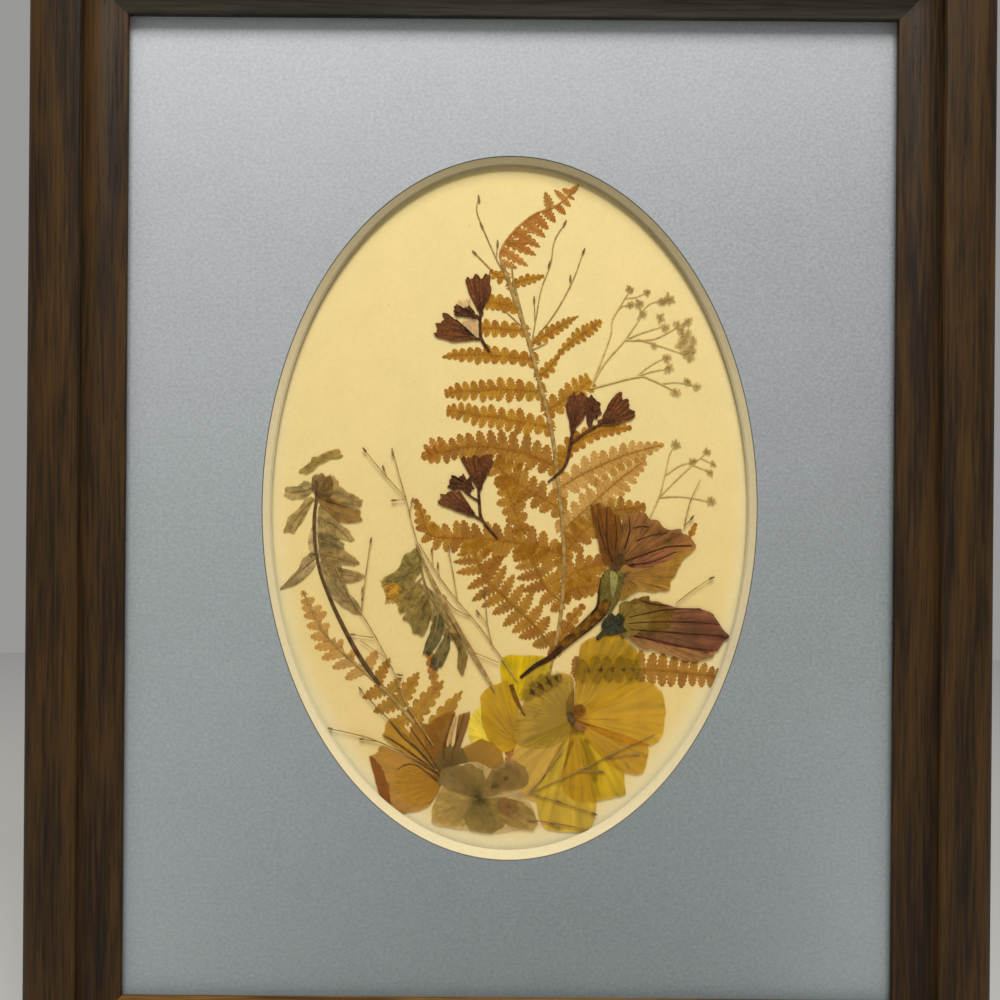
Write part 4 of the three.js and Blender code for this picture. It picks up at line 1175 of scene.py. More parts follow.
EYE_MARKS = [
    ((576, 712), [(575, 706), (580, 703), (586, 705), (588, 709), (585, 715), (580, 717), (576, 714)],
     (150, 92, 8), (122, 70, 2)),
    ((578, 724), [(576, 722), (582, 722), (588, 727), (586, 731), (580, 729), (577, 727)],
     (150, 98, 42)),
    ((574, 717), [(570, 712), (573, 711), (576, 714), (577, 721), (576, 725), (573, 723), (570, 718)],
     (90, 62, 28)),
    ((573, 716), [(569, 713), (570, 712), (575, 716), (576, 721), (572, 719)], (104, 80, 44)),
]
SHOW_THROUGH = fern_finish("fern_through_petal", (156, 108, 26), (132, 86, 16), (140, 102, 30), 0.1)
HIDDEN_PINNAE = [
    [(584, 670, 13), (604, 668, 14), (622, 668, 14), (638, 668, 12)],
    [(530, 694, 6), (545, 684, 10), (560, 676, 7)],
]
YELLOW_REAR = rear_of("yellow_flower")
hidden_fern = pinnae(HIDDEN_PINNAE, YELLOW_REAR + 13 * LIFT, 11.5, TOOTHED, SHOW_THROUGH, 11, 0.8, 4)
press("yellow_flower", "leaf", [
    petals("right_yellow", YELLOW_REAR + LIFT, RIGHT_YELLOW, YELLOW_HEART),
    petals("eye", YELLOW_REAR + 14 * LIFT, EYE_MARKS, EYE), hidden_fern[0]])


# ---- Brown and grey flowers ------------------------------------------------------------------
# A brown flower seen from the side, its left petal folded back in a darker band, and a
# translucent grey-olive flower pressed over its foot.
BROWN = petal_finish("brown_petal", 0.54, 1.8, 14, 0.34, 0.9, (96, 50, 6), 0.2)
BROWN_EYE = (448, 781)
BROWN_PETALS = [
    (BROWN_EYE, [(446, 784), (434, 796), (432, 806), (424, 810), (412, 813), (400, 813), (393, 807),
                 (385, 798), (380, 786), (376, 772), (372, 757), (372, 757), (380, 752), (385, 746),
                 (400, 752), (420, 762), (436, 772)], (153, 107, 36)),
    (BROWN_EYE, [(446, 780), (432, 768), (412, 756), (398, 748), (386, 738), (386, 732), (389, 724),
                 (394, 718), (404, 724), (416, 738), (428, 752), (440, 768)], (153, 109, 20)),
    (BROWN_EYE, [(448, 778), (434, 764), (420, 750), (412, 738), (414, 726), (424, 722), (434, 728),
                 (444, 742), (450, 760)], (137, 92, 18)),
    ((386, 786), [(373, 757), (378, 760), (384, 768), (389, 779), (392, 790), (394, 806), (389, 804),
                  (383, 797), (379, 784), (375, 770)], (122, 69, 18)),
    (BROWN_EYE, [(442, 784), (430, 774), (416, 765), (406, 766), (399, 773), (398, 784), (404, 796),
                 (418, 804), (432, 802), (440, 793)], (159, 113, 28), (137, 88, 14)),
    ((452, 776), [(452, 776), (456, 762), (463, 750), (472, 744), (484, 739), (494, 742), (503, 750),
                  (506, 760), (500, 767), (486, 768), (470, 768)], (139, 97, 14), (108, 74, 18)),
    ((449, 778), [(450, 778), (441, 766), (430, 752), (427, 740), (430, 728), (436, 720), (447, 714),
                  (457, 711), (456, 722), (451, 735), (446, 748), (449, 762)],
     (125, 78, 10), (98, 65, 20)),
    ((453, 776), [(452, 778), (451, 764), (454, 750), (459, 736), (460, 722), (461, 715), (466, 713),
                  (472, 712), (471, 722), (467, 734), (463, 746), (458, 762)],
     (112, 69, 14), (86, 59, 20)),
    ((452, 770), [(440, 770), (438, 758), (446, 748), (456, 746), (466, 750), (470, 760), (466, 774),
                  (458, 786), (448, 790), (440, 782)], (102, 78, 30), (82, 57, 22)),
]
BROWN_MARKS = [
    ((454, 730), [(456, 717), (459, 716), (457, 728), (454, 740), (450, 747), (449, 742), (452, 730)],
     (206, 156, 92)),
    ((480, 767), [(470, 764), (478, 763), (488, 766), (490, 770), (482, 771), (472, 769)],
     (204, 152, 92)),
    ((451, 780), [(444, 776), (451, 772), (457, 777), (455, 784), (450, 788), (446, 784)],
     (62, 30, 14)),
]
FOLD_LINES = [
    [(387, 736, 1), (402, 745, 1.6), (416, 755, 1.6), (430, 765, 2), (442, 776, 2.4)],
    [(393, 722, 1), (404, 736, 1.4), (418, 748, 1.6), (432, 762, 2), (444, 776, 2.4)],
    [(412, 727, 1), (420, 738, 1.4), (430, 752, 1.6), (444, 774, 2)],
    [(400, 770, 0.8), (408, 765, 1.2), (418, 765, 1.2), (430, 773, 1.6), (440, 781, 2)],
    [(456, 713, 1), (452, 728, 1.6), (447, 742, 1.8), (446, 760, 1.6)],
    [(466, 714, 1), (462, 730, 1.4), (457, 746, 1.4), (454, 762, 1.6)],
]
BROWN_LINE = stalk_finish("brown_fold", (118, 70, 16), (84, 46, 8))
press("brown_flower", "leaf", [
    petals("brown", rear_of("brown_flower") + LIFT, BROWN_PETALS, BROWN, 0.4),
    petals("marks", rear_of("brown_flower") + 14 * LIFT, BROWN_MARKS, EYE),
    stems(FOLD_LINES, rear_of("brown_flower") + 13 * LIFT, BROWN_LINE, 0.08)])

GREY = petal_finish("grey_petal", 0.46, 2.1, 9, 0.5, 1.4, (84, 68, 14), 0.3)
GREY_EYE = (482, 798)
GREY_PETALS = [
    (GREY_EYE, [(438, 800), (446, 780), (460, 764), (478, 762), (494, 768), (512, 780), (528, 794),
                (536, 808), (538, 822), (520, 829), (496, 831), (470, 829), (446, 824), (437, 814)],
     (158, 130, 80), (136, 110, 60)),
    (GREY_EYE, [(480, 802), (466, 790), (450, 787), (441, 793), (437, 804), (434, 815), (436, 822),
                (444, 826), (456, 826), (468, 824), (478, 816)], (152, 120, 58), (128, 104, 46)),
    (GREY_EYE, [(480, 800), (468, 794), (452, 790), (443, 783), (443, 773), (452, 766), (464, 766),
                (474, 774), (482, 786)], (118, 92, 46), (92, 72, 30)),
    (GREY_EYE, [(484, 800), (472, 806), (467, 816), (470, 826), (478, 831), (490, 833), (502, 829),
                (509, 822), (508, 810), (498, 801)], (118, 94, 42), (92, 74, 26)),
    (GREY_EYE, [(488, 800), (500, 797), (514, 798), (526, 802), (535, 810), (540, 820), (538, 828),
                (528, 829), (516, 826), (506, 820), (496, 812)], (136, 106, 48), (112, 90, 36)),
    (GREY_EYE, [(480, 796), (464, 786), (458, 774), (462, 766), (474, 764), (484, 770), (490, 782),
                (490, 790)], (118, 90, 38), (86, 68, 26)),
    ((495, 787), [(488, 796), (489, 780), (495, 768), (505, 761), (516, 760), (526, 765), (531, 774),
                  (530, 783), (522, 788), (510, 790), (500, 793)], (124, 94, 44), (100, 76, 30)),
    ((508, 778), [(498, 776), (504, 768), (514, 766), (522, 771), (522, 781), (514, 786), (503, 785)],
     (112, 84, 36)),
    ((512, 806), [(500, 800), (510, 797), (520, 802), (520, 812), (510, 815), (501, 810)],
     (120, 84, 38)),
]
press("grey_flower", "leaf", [
    petals("grey", rear_of("grey_flower") + LIFT, GREY_PETALS, GREY, 0.4)])


# ---- Mauve flowers ---------------------------------------------------------------------------
# Two mauve-brown flowers pressed sideways, with dark calyxes. The upper one stands on a broad
# flattened stem that runs down to a narrow dark tip.
MAUVE = petal_finish("mauve_petal", 0.74, 1.6, 20, 0.9, 0.8, (60, 32, 6), 0.16)
CALYX = petal_finish("flower_calyx", 0.9, 1.1, 8, 1.0, 1.2)
UPPER_MAUVE = [
    ((622, 574), [(622, 566), (636, 556), (652, 549), (668, 546), (684, 545), (697, 545), (697, 545),
                  (690, 552), (682, 560), (678, 569), (673, 578), (668, 588), (658, 590), (646, 589),
                  (634, 592), (624, 597), (617, 601), (617, 590), (620, 580)],
     (144, 100, 32), (123, 85, 40)),
    ((618, 564), [(622, 560), (628, 545), (634, 528), (632, 516), (640, 512), (650, 515), (658, 521),
                  (667, 527), (676, 528), (684, 530), (690, 536), (697, 545), (697, 545), (686, 549),
                  (670, 552), (654, 560), (636, 562)], (124, 79, 38), (102, 64, 32)),
    ((630, 566), [(634, 558), (648, 552), (662, 549), (674, 548), (672, 556), (662, 562), (648, 566),
                  (636, 566)], (124, 75, 44)),
    ((617, 562), [(616, 560), (620, 545), (623, 530), (623, 517), (629, 512), (637, 511), (640, 518),
                  (640, 530), (636, 544), (626, 556)], (130, 86, 40), (92, 60, 24)),
    ((614, 566), [(608, 565), (600, 548), (596, 530), (592, 512), (591, 505), (597, 503), (606, 506),
                  (614, 511), (620, 517), (622, 530), (620, 545), (616, 558)],
     (110, 64, 16), (88, 50, 10)),
]
UPPER_CREASES = [
    [(607, 507, 1), (607, 525, 1.6), (608, 545, 1.8), (613, 560, 2)],
    [(598, 508, 0.8), (600, 528, 1.2), (606, 548, 1.6)],
    [(615, 513, 0.8), (617, 530, 1.2), (616, 548, 1.6)],
    [(634, 527, 1.2), (642, 525, 1.6), (649, 526, 1)],
    [(629, 514, 0.8), (630, 530, 1.4), (625, 548, 1.8)],
    [(626, 560, 2), (642, 554, 1.8), (656, 549, 1.6), (670, 545, 1.6), (692, 544, 1.6)],
    [(628, 564, 1.4), (650, 561, 1.2), (664, 556, 1.2), (676, 550, 1)],
    [(636, 540, 1), (652, 534, 1), (668, 532, 0.8)],
]
LOWER_MAUVE = [
    ((624, 624), [(632, 636), (640, 645), (652, 648), (664, 651), (676, 655), (688, 659), (700, 659),
                  (712, 655), (716, 649), (704, 643), (686, 641), (660, 638)], (134, 90, 50)),
    ((624, 622), [(630, 610), (650, 601), (668, 604), (682, 606), (694, 607), (702, 606), (712, 612),
                  (720, 620), (727, 631), (728, 638), (722, 641), (718, 649), (708, 651), (694, 647),
                  (676, 645), (655, 640), (636, 634)], (98, 54, 36), (100, 72, 36)),
    ((622, 622), [(620, 606), (630, 600), (640, 596), (648, 595), (656, 600), (668, 604), (674, 612),
                  (672, 622), (662, 630), (648, 632), (634, 634), (622, 634)],
     (94, 64, 16), (114, 88, 34)),
    ((622, 620), [(620, 604), (632, 601), (644, 604), (650, 612), (648, 624), (638, 632), (624, 634)],
     (114, 88, 34)),
]
LOWER_CREASES = [
    [(630, 616, 1), (655, 610, 1.2), (680, 607, 1.2), (702, 607, 1)],
    [(630, 622, 1), (660, 620, 1.4), (690, 620, 1.2), (720, 622, 1)],
    [(632, 628, 1), (664, 630, 1.4), (696, 632, 1.4), (724, 634, 1)],
    [(634, 634, 1), (664, 640, 1.4), (690, 646, 1.4), (714, 648, 1)],
    [(640, 598, 1), (652, 602, 1.6), (668, 604, 1.4)],
]
CALYXES = [
    ((613, 588), [(604, 572), (611, 567), (620, 568), (625, 576), (623, 590), (618, 602), (610, 612),
                  (602, 608), (600, 596), (601, 582)], (104, 88, 34)),
    ((614, 580), [(611, 572), (615, 570), (618, 576), (617, 588), (613, 596), (611, 586)],
     (146, 132, 74)),
    ((617, 562), [(611, 567), (615, 558), (620, 552), (625, 555), (624, 562), (619, 569), (614, 570)],
     (88, 58, 28)),
]
DARK_CALYX = [
    ((615, 622), [(607, 616), (612, 612), (616, 614), (620, 612), (626, 617), (624, 624), (628, 630),
                  (621, 632), (614, 634), (606, 634), (599, 639), (597, 636), (603, 629), (602, 624)],
     (58, 54, 30)),
    ((614, 622), [(608, 622), (614, 618), (621, 622), (620, 630), (611, 630)], (62, 60, 46)),
]
BROAD_STEM = stalk_finish("broad_stem", (128, 84, 18), (84, 48, 4))
DARK_TIP = stalk_finish("dark_stem_tip", (70, 40, 12), (44, 24, 8))
CREASE = stalk_finish("mauve_crease", (84, 46, 16), (58, 30, 8))
UPPER_REAR = rear_of("mauve_flower_upper")
press("mauve_flower_upper", "leaf", [
    petals("upper_mauve", UPPER_REAR + LIFT, UPPER_MAUVE, MAUVE, 0.9),
    petals("calyx", UPPER_REAR + 11 * LIFT, CALYXES, CALYX),
    stems(UPPER_CREASES, UPPER_REAR + 8 * LIFT, CREASE, 0.08),
    stems([[(608, 598, 9), (603, 608, 12), (590, 622, 12), (575, 635, 10), (558, 650, 8)]],
          UPPER_REAR + 6 * LIFT, BROAD_STEM, 0.06),
    stems([[(602, 576, 1.4), (600, 592, 2.4), (598, 606, 3), (586, 622, 2), (570, 636, 1.6)],
           [(612, 602, 1.4), (604, 616, 1.6), (590, 628, 1.4), (574, 641, 1.2)]],
          UPPER_REAR + 10 * LIFT, DARK_TIP, 0.1),
    stems([[(564, 645, 7), (551, 657, 5.5), (537, 665, 4.5), (522, 677, 3)]],
          UPPER_REAR + 7 * LIFT, DARK_TIP, 0.08)])
LOWER_REAR = rear_of("mauve_flower_lower")
press("mauve_flower_lower", "leaf", [
    petals("lower_mauve", LOWER_REAR + LIFT, LOWER_MAUVE, MAUVE, 0.9),
    petals("lower_calyx", LOWER_REAR + 11 * LIFT, DARK_CALYX, CALYX),
    stems(LOWER_CREASES, LOWER_REAR + 8 * LIFT, CREASE, 0.08)])


# ---- Coral bells -----------------------------------------------------------------------------
# Three sprigs of dark red funnel flowers with scalloped mouths, on thin wiry stems. A few pale
# petals of faded flowers lie behind the top sprig.
def bell_finish():
    """Dark red petal, darkest at the heart, with paler streaks that fan out from it."""
    made = Finish("coral_bell", Roughness=0.7, Specular_IOR_Level=0.12, Alpha=0.95)
    along, around = made.value("along"), made.value("around")
    fan = made.node("CombineXYZ", X=along * 1.6, Y=around * 16, Z=made.value("kind"))
    streak = made.node("TexNoise", Vector=fan, Scale=1.0, Detail=3.0)
    mottle = made.noise(1400, 3)
    own = made.node("Attribute", {"attribute_name": "petal"})
    light = made.mix(made.band(along, 0.1, 0.7), shade(58, 26, 6), own)
    colour = made.mix(made.band(streak + mottle * 0.4, 0.66, 0.9) * 0.6, light, shade(134, 78, 30))
    made.feed(made.shader, {"Base_Color": made.scaled(colour, streak * 1.5 + mottle * 1.3 - 0.42)})
    made.bump(streak + mottle, 0.0001, 0.6)
    return made.material


BELL = bell_finish()
BELL_STEM = stalk_finish("bell_stem", (104, 66, 34), (62, 36, 20))
PALE = petal_finish("faded_petal", 0.3, 1.4, 8, 1.0)


def bell_sprig(name, bells, stalks, pale=()):
    """Bells on their stalks, with any faded petals behind them."""
    rear = rear_of(name)
    parts = [petals(name, rear + 5 * LIFT, bells, BELL, 0.6),
             stems(stalks, rear + 6 * LIFT, BELL_STEM, 0.4)]
    if pale:
        parts.append(petals(name + "_pale", rear + LIFT, pale, PALE))
    press(name, "flowers", parts)


bell_sprig("coral_bell_sprig_top", [
    ((480, 313), [(464, 280), (465, 279), (468, 278), (470, 280), (472, 277), (475, 274), (478, 277),
                  (481, 279), (483, 275), (486, 274), (489, 277), (489, 285), (490, 292), (487, 300),
                  (484, 306), (482, 312), (480, 315), (477, 311), (473, 304), (469, 296), (466, 288)],
     (98, 52, 20)),
    ((476, 338), [(433, 335), (434, 333), (437, 331), (436, 328), (435, 325), (438, 323), (442, 322),
                  (443, 319), (442, 316), (445, 313), (448, 316), (450, 318), (456, 320), (460, 324),
                  (465, 330), (470, 335), (480, 338), (470, 341), (460, 342), (450, 342), (440, 339),
                  (435, 337)], (100, 55, 20)),
    ((474, 316), [(453, 310), (454, 306), (457, 305), (460, 308), (463, 310), (465, 307), (469, 307),
                  (472, 310), (475, 314), (479, 318), (472, 319), (464, 317), (457, 317), (453, 314)],
     (56, 30, 16)),
], [[(480, 311, 3), (479, 325, 2.6), (480, 337, 3), (484, 345, 3), (489, 352, 2)],
    [(469, 337, 3), (476, 339, 3), (480, 339, 3)], [(472, 314, 2), (476, 317, 2), (479, 321, 2)]],
    [((470, 318), [(455, 306), (456, 302), (462, 300), (468, 299), (471, 304), (472, 312), (464, 314)],
      (196, 160, 112)),
     ((472, 318), [(461, 322), (464, 320), (472, 320), (478, 322), (478, 334), (470, 334), (464, 328)],
      (190, 150, 104))])
bell_sprig("coral_bell_sprig_right", [
    ((572, 428), [(571, 394), (573, 391), (575, 394), (577, 395), (579, 393), (581, 391), (584, 394),
                  (586, 397), (587, 404), (586, 412), (582, 420), (576, 428), (573, 431), (570, 430),
                  (569, 420), (566, 412), (566, 402), (568, 397)], (98, 52, 20)),
    ((591, 409), [(586, 400), (588, 396), (591, 395), (594, 397), (597, 401), (601, 405), (599, 409),
                  (602, 413), (597, 416), (594, 419), (590, 427), (586, 420), (585, 412)],
     (74, 38, 18)),
    ((602, 423), [(617, 392), (620, 391), (622, 393), (621, 397), (625, 398), (629, 400), (628, 406),
                  (632, 409), (635, 413), (632, 418), (622, 422), (611, 425), (598, 424), (601, 417),
                  (604, 412), (607, 405), (610, 400), (613, 396)], (95, 50, 13)),
], [[(572, 428, 3), (571, 440, 3.4), (565, 465, 3), (548, 482, 2)],
    [(601, 423, 2.6), (585, 432, 3), (571, 442, 3)], [(590, 428, 2.2), (583, 433, 2.4)]])
bell_sprig("coral_bell_sprig_left", [
    ((480, 489), [(461, 459), (463, 457), (466, 458), (468, 459), (472, 457), (475, 455), (478, 457),
                  (480, 458), (484, 455), (488, 454), (492, 456), (493, 460), (492, 465), (490, 471),
                  (488, 475), (483, 485), (479, 491), (474, 483), (469, 474), (464, 465)],
     (96, 48, 14)),
    ((468, 486), [(450, 484), (450, 479), (453, 476), (456, 476), (459, 480), (461, 475), (464, 475),
                  (467, 479), (470, 477), (473, 480), (472, 485), (475, 489), (471, 492), (464, 492),
                  (458, 489), (453, 491), (449, 488)], (64, 34, 14)),
    ((474, 514), [(438, 502), (440, 500), (442, 498), (441, 495), (448, 493), (455, 491), (461, 492),
                  (466, 499), (472, 508), (477, 517), (468, 516), (456, 511), (445, 507), (440, 505)],
     (96, 54, 24)),
], [[(479, 488, 3), (480, 505, 3), (483, 520, 3), (498, 538, 2)], [(473, 515, 2.4), (484, 521, 2.8)],
    [(464, 490, 2.4), (472, 497, 2.2), (481, 502, 2.4)]])


# ---- Umbel sprigs ----------------------------------------------------------------------------
# Hair-thin straw-coloured rays that end in small soft clusters of florets. Each floret is a
# ring of small tufts round one point.
UMBEL_STEM = stalk_finish("umbel_stem", (214, 184, 112), (188, 156, 88))
FLORET = fern_finish("umbel_floret", (224, 190, 118), (200, 164, 92), (176, 140, 76), 0.38)
TUFT = cutout("floret_tuft", [
    (0.16, 0.0), (0.30, 0.14), (0.20, 0.24), (0.46, 0.30), (0.34, 0.42), (0.52, 0.56), (0.34, 0.60),
    (0.40, 0.80), (0.20, 0.76), (0.16, 0.98), (0.05, 0.84), (0.0, 1.0)])
TUFTS = 7
RAY_WIDE = 0.72
UPPER_RAYS = [
    [(590, 388, 2.4), (609, 337, 2), (612, 318, 1.8), (629, 289, 1.4)],
    [(590, 388, 2.6), (603, 364, 2.2), (624, 339, 2), (641, 314, 1.4)],
    [(590, 388, 2.4), (636, 376, 2), (650, 378, 1.8), (675, 390, 1.4)],
    [(611, 318, 1.4), (620, 306, 1.2), (629, 304, 1)], [(623, 297, 1.4), (634, 296, 1.2), (646, 291, 1)],
    [(636, 318, 1.4), (648, 303, 1.2), (667, 298, 1)], [(630, 300, 1.2), (638, 306, 1), (642, 312, 1)],
    [(624, 339, 1.8), (640, 332, 1.5), (662, 325, 1)], [(624, 339, 1.8), (655, 337, 1.5), (688, 318, 1)],
    [(636, 338, 1.8), (654, 343, 1.5), (690, 355, 1)], [(636, 375, 1.6), (650, 364, 1.4), (667, 355, 1)],
    [(636, 375, 1.6), (652, 370, 1.4), (669, 367, 1)], [(662, 382, 1.4), (678, 381, 1.2), (696, 385, 1)],
    [(658, 325, 1.2), (659, 317, 1)], [(676, 325, 1.2), (686, 337, 1)],
]
UPPER_FLORETS = [
    (629, 289, 7), (646, 291, 6), (667, 298, 9), (629, 304, 6), (638, 303, 8), (659, 316, 7),
    (664, 326, 7), (687, 320, 7), (685, 335, 10), (689, 355, 9), (666, 356, 7), (668, 367, 7),
    (687, 380, 6), (696, 385, 6), (675, 391, 7), (653, 344, 5), (642, 312, 6), (680, 342, 8),
    (676, 322, 6), (660, 300, 6), (690, 346, 8), (680, 328, 7), (692, 338, 6), (684, 350, 7),
]
LOWER_RAYS = [
    [(650, 517, 2), (660, 494, 2.2), (665, 474, 2), (670, 452, 1.6), (676, 443, 1.2)],
    [(659, 496, 2), (683, 472, 1.7), (707, 450, 1.2)],
    [(659, 496, 1.8), (683, 495, 1.5), (711, 500, 1.2)],
    [(665, 474, 1.6), (680, 464, 1.4), (694, 460, 1)],
    [(692, 463, 1.4), (710, 470, 1)], [(700, 456, 1.2), (713, 462, 1)],
]
LOWER_FLORETS = [
    (676, 443, 7), (707, 450, 6), (693, 460, 6), (713, 462, 5), (710, 471, 6), (711, 500, 7),
]


def umbel(name, rays, florets):
    """Rays, and round each floret's place a few small tufts that point every way."""
    rear = rear_of(name) + LAYER_T * 0.4
    chance = random.Random(len(rays))
    tufts = []
    for u, v, across in florets:
        for i in range(TUFTS):
            turn = 2 * math.pi * (i + chance.random() * 0.7) / TUFTS
            reach = across * (0.5 + 0.4 * chance.random())
            tufts.append((u, v, u + reach * math.cos(turn), v + reach * math.sin(turn), across * 0.5))
    thin = [[(u, v, wide * RAY_WIDE) for u, v, wide in ray] for ray in rays]
    press(name, "flowers", [
        stems(thin, rear, UMBEL_STEM, 0.5), set_out(tufts, rear, TUFT, FLORET, LAYER_T * 0.5, 11)])


umbel("umbel_sprig_upper", UPPER_RAYS, UPPER_FLORETS)
umbel("umbel_sprig_lower", LOWER_RAYS, LOWER_FLORETS)


# ---- Lobed leaves ----------------------------------------------------------------------------
# An olive leaf with rounded lobes on a brown stem, a broken piece of such a leaf above it, and
# a second, darker leaf whose lobes fan downwards. Pale veins lie on the lobes.
LEAF = petal_finish("olive_leaf", 0.48, 2.1, 5, 0.8, 2.4)
LEAF_DARK = petal_finish("olive_leaf_dark", 0.56, 2.1, 5, 0.8, 2.8)
LEAF_STEM = stalk_finish("leaf_stem", (108, 80, 46), (78, 54, 32))
LEAF_VEIN = stalk_finish("leaf_vein", (150, 120, 66), (124, 98, 50))
LEFT_LOBES = [
    ((318, 540), [(317, 512), (312, 530), (309, 548), (314, 562), (322, 564), (331, 548), (327, 524)],
     (150, 128, 84)),
    ((322, 540), [(319, 508), (328, 512), (335, 524), (338, 540), (340, 556), (344, 572), (348, 588),
                  (354, 602), (346, 602), (334, 590), (325, 572), (320, 548)], (129, 106, 66)),
    ((315, 488), [(314, 487), (306, 482), (302, 484), (296, 489), (288, 488), (285, 493), (286, 498),
                  (291, 501), (298, 501), (305, 500), (312, 494)], (134, 112, 64)),
    ((314, 500), [(312, 498), (304, 502), (301, 508), (294, 514), (288, 520), (286, 528), (284, 534),
                  (290, 534), (295, 535), (297, 530), (303, 524), (308, 514), (313, 504)],
     (130, 107, 56)),
    ((318, 560), [(318, 556), (310, 555), (304, 560), (300, 569), (292, 578), (285, 586), (281, 590),
                  (288, 590), (298, 586), (308, 578), (316, 568)], (110, 84, 54), (152, 132, 84)),
    ((322, 520), [(320, 510), (330, 514), (338, 518), (341, 524), (350, 532), (355, 540), (352, 543),
                  (345, 541), (336, 540), (328, 540), (321, 530)], (125, 102, 56)),
    ((320, 540), [(320, 534), (330, 536), (338, 539), (344, 544), (345, 549), (338, 552), (328, 552),
                  (320, 548)], (108, 88, 50)),
    ((322, 554), [(320, 548), (334, 549), (344, 550), (352, 556), (359, 561), (360, 565), (355, 567),
                  (346, 566), (336, 566), (324, 564)], (120, 94, 50)),
    ((324, 566), [(322, 562), (332, 566), (342, 570), (352, 571), (360, 573), (366, 577), (360, 582),
                  (350, 584), (338, 582), (326, 574)], (122, 98, 54)),
    ((326, 570), [(321, 562), (332, 574), (340, 584), (350, 594), (358, 602), (363, 611), (361, 616),
                  (352, 613), (340, 605), (330, 594), (323, 580)], (125, 102, 60)),
    ((318, 500), [(318, 500), (322, 488), (326, 480), (331, 476), (336, 479), (340, 486), (345, 491),
                  (353, 495), (360, 499), (363, 502), (361, 508), (352, 506), (342, 503), (330, 502)],
     (126, 98, 50)),
    ((318, 500), [(318, 498), (328, 498), (338, 503), (344, 508), (352, 509), (360, 510), (361, 516),
                  (363, 521), (356, 524), (346, 524), (338, 522), (330, 514), (322, 508)],
     (110, 76, 28)),
    ((318, 498), [(318, 500), (313, 492), (312, 484), (313, 478), (318, 475), (325, 476), (332, 479),
                  (334, 490), (330, 500), (324, 502)], (94, 68, 32)),
]
LEFT_VEINS = [
    [(316, 488, 1.4), (304, 492, 1), (290, 494, 0.6)], [(315, 500, 1.4), (302, 513, 1), (290, 530, 0.6)],
    [(318, 558, 1.4), (304, 570, 1), (286, 586, 0.6)], [(320, 518, 1.4), (336, 527, 1), (350, 539, 0.6)],
    [(320, 542, 1.4), (332, 545, 0.8)], [(322, 555, 1.4), (340, 559, 1), (356, 564, 0.6)],
    [(324, 566, 1.4), (342, 575, 1), (360, 577, 0.6)],
    [(325, 572, 1.6), (342, 592, 1.2), (358, 611, 0.6)],
    [(318, 496, 1.6), (334, 494, 1.2), (358, 503, 0.6)],
    [(318, 500, 1.6), (336, 512, 1.2), (358, 518, 0.6)],
]
LEFT_STEM = [
    (317, 482, 3), (317, 500, 3.2), (315, 520, 3.4), (316, 545, 3), (321, 572, 3), (330, 596, 3.4),
    (341, 620, 4), (357, 650, 4.4), (370, 670, 4.4), (382, 686, 3.4),
]
LEFT_REAR = rear_of("lobed_leaf_left")
press("lobed_leaf_left", "leaf", [
    petals("left_leaf", LEFT_REAR - 2 * LIFT, LEFT_LOBES, LEAF, 0.5),
    stems(LEFT_VEINS, LEFT_REAR + 14 * LIFT, LEAF_VEIN, 0.06),
    stems([LEFT_STEM], LEFT_REAR + LAYER_T * 0.9, LEAF_STEM, 0.3)])

FRAGMENT = [((322, 461), [
    (300, 471), (304, 469), (308, 465), (313, 459), (318, 457), (330, 452), (339, 450), (341, 453),
    (340, 455), (344, 457), (338, 460), (330, 461), (320, 466), (314, 472), (306, 476), (302, 475)],
    (124, 98, 40), (112, 88, 34))]
press("lobed_leaf_fragment", "leaf", [
    petals("fragment", rear_of("lobed_leaf_fragment") + 4 * LIFT, FRAGMENT, LEAF, 0.5)])

MIDDLE_LOBES = [
    ((434, 606), [(424, 584), (432, 590), (442, 604), (452, 620), (462, 636), (452, 640), (440, 630),
                  (428, 614), (422, 598)], (122, 98, 52)),
    ((412, 571), [(419, 549), (412, 551), (405, 557), (398, 570), (391, 575), (383, 580), (384, 586),
                  (388, 584), (396, 587), (402, 590), (408, 588), (416, 581), (422, 572), (421, 558)],
     (106, 88, 38)),
    ((398, 591), [(389, 584), (386, 590), (390, 591), (390, 597), (396, 601), (402, 597), (406, 591),
                  (400, 586)], (148, 106, 32)),
    ((411, 597), [(420, 582), (412, 585), (404, 590), (398, 598), (399, 605), (400, 612), (407, 613),
                  (415, 608), (420, 600), (424, 590)], (112, 88, 36)),
    ((420, 616), [(424, 596), (417, 606), (408, 614), (404, 620), (412, 624), (414, 632), (421, 636),
                  (428, 632), (431, 622), (433, 612), (430, 600)], (100, 80, 34)),
    ((438, 630), [(436, 616), (433, 627), (429, 638), (426, 647), (425, 654), (431, 655), (437, 648),
                  (442, 640), (445, 630), (445, 620), (440, 614)], (64, 60, 34), (100, 82, 40)),
    ((445, 645), [(446, 636), (440, 647), (434, 657), (432, 665), (436, 670), (443, 667), (448, 658),
                  (452, 646), (451, 636), (448, 632)], (66, 58, 32), (100, 82, 40)),
    ((460, 650), [(452, 634), (457, 644), (460, 652), (459, 664), (461, 672), (465, 675), (468, 665),
                  (469, 655), (464, 642), (458, 633)], (98, 76, 30)),
]
MIDDLE_VEINS = [
    [(421, 566, 1.6), (412, 572, 1.2), (392, 581, 0.6)],
    [(423, 578, 1.6), (410, 592, 1.2), (402, 604, 0.6)],
    [(428, 598, 1.6), (420, 612, 1.2), (414, 628, 0.6)],
    [(440, 612, 1.6), (437, 630, 1.2), (429, 650, 0.6)],
    [(449, 630, 1.4), (446, 648, 1), (438, 667, 0.6)], [(457, 632, 1.4), (462, 650, 1), (462, 670, 0.6)],
    [(420, 552, 1.8), (425, 580, 2), (436, 604, 2), (452, 628, 2)],
]
MIDDLE_REAR = rear_of("lobed_leaf_middle")
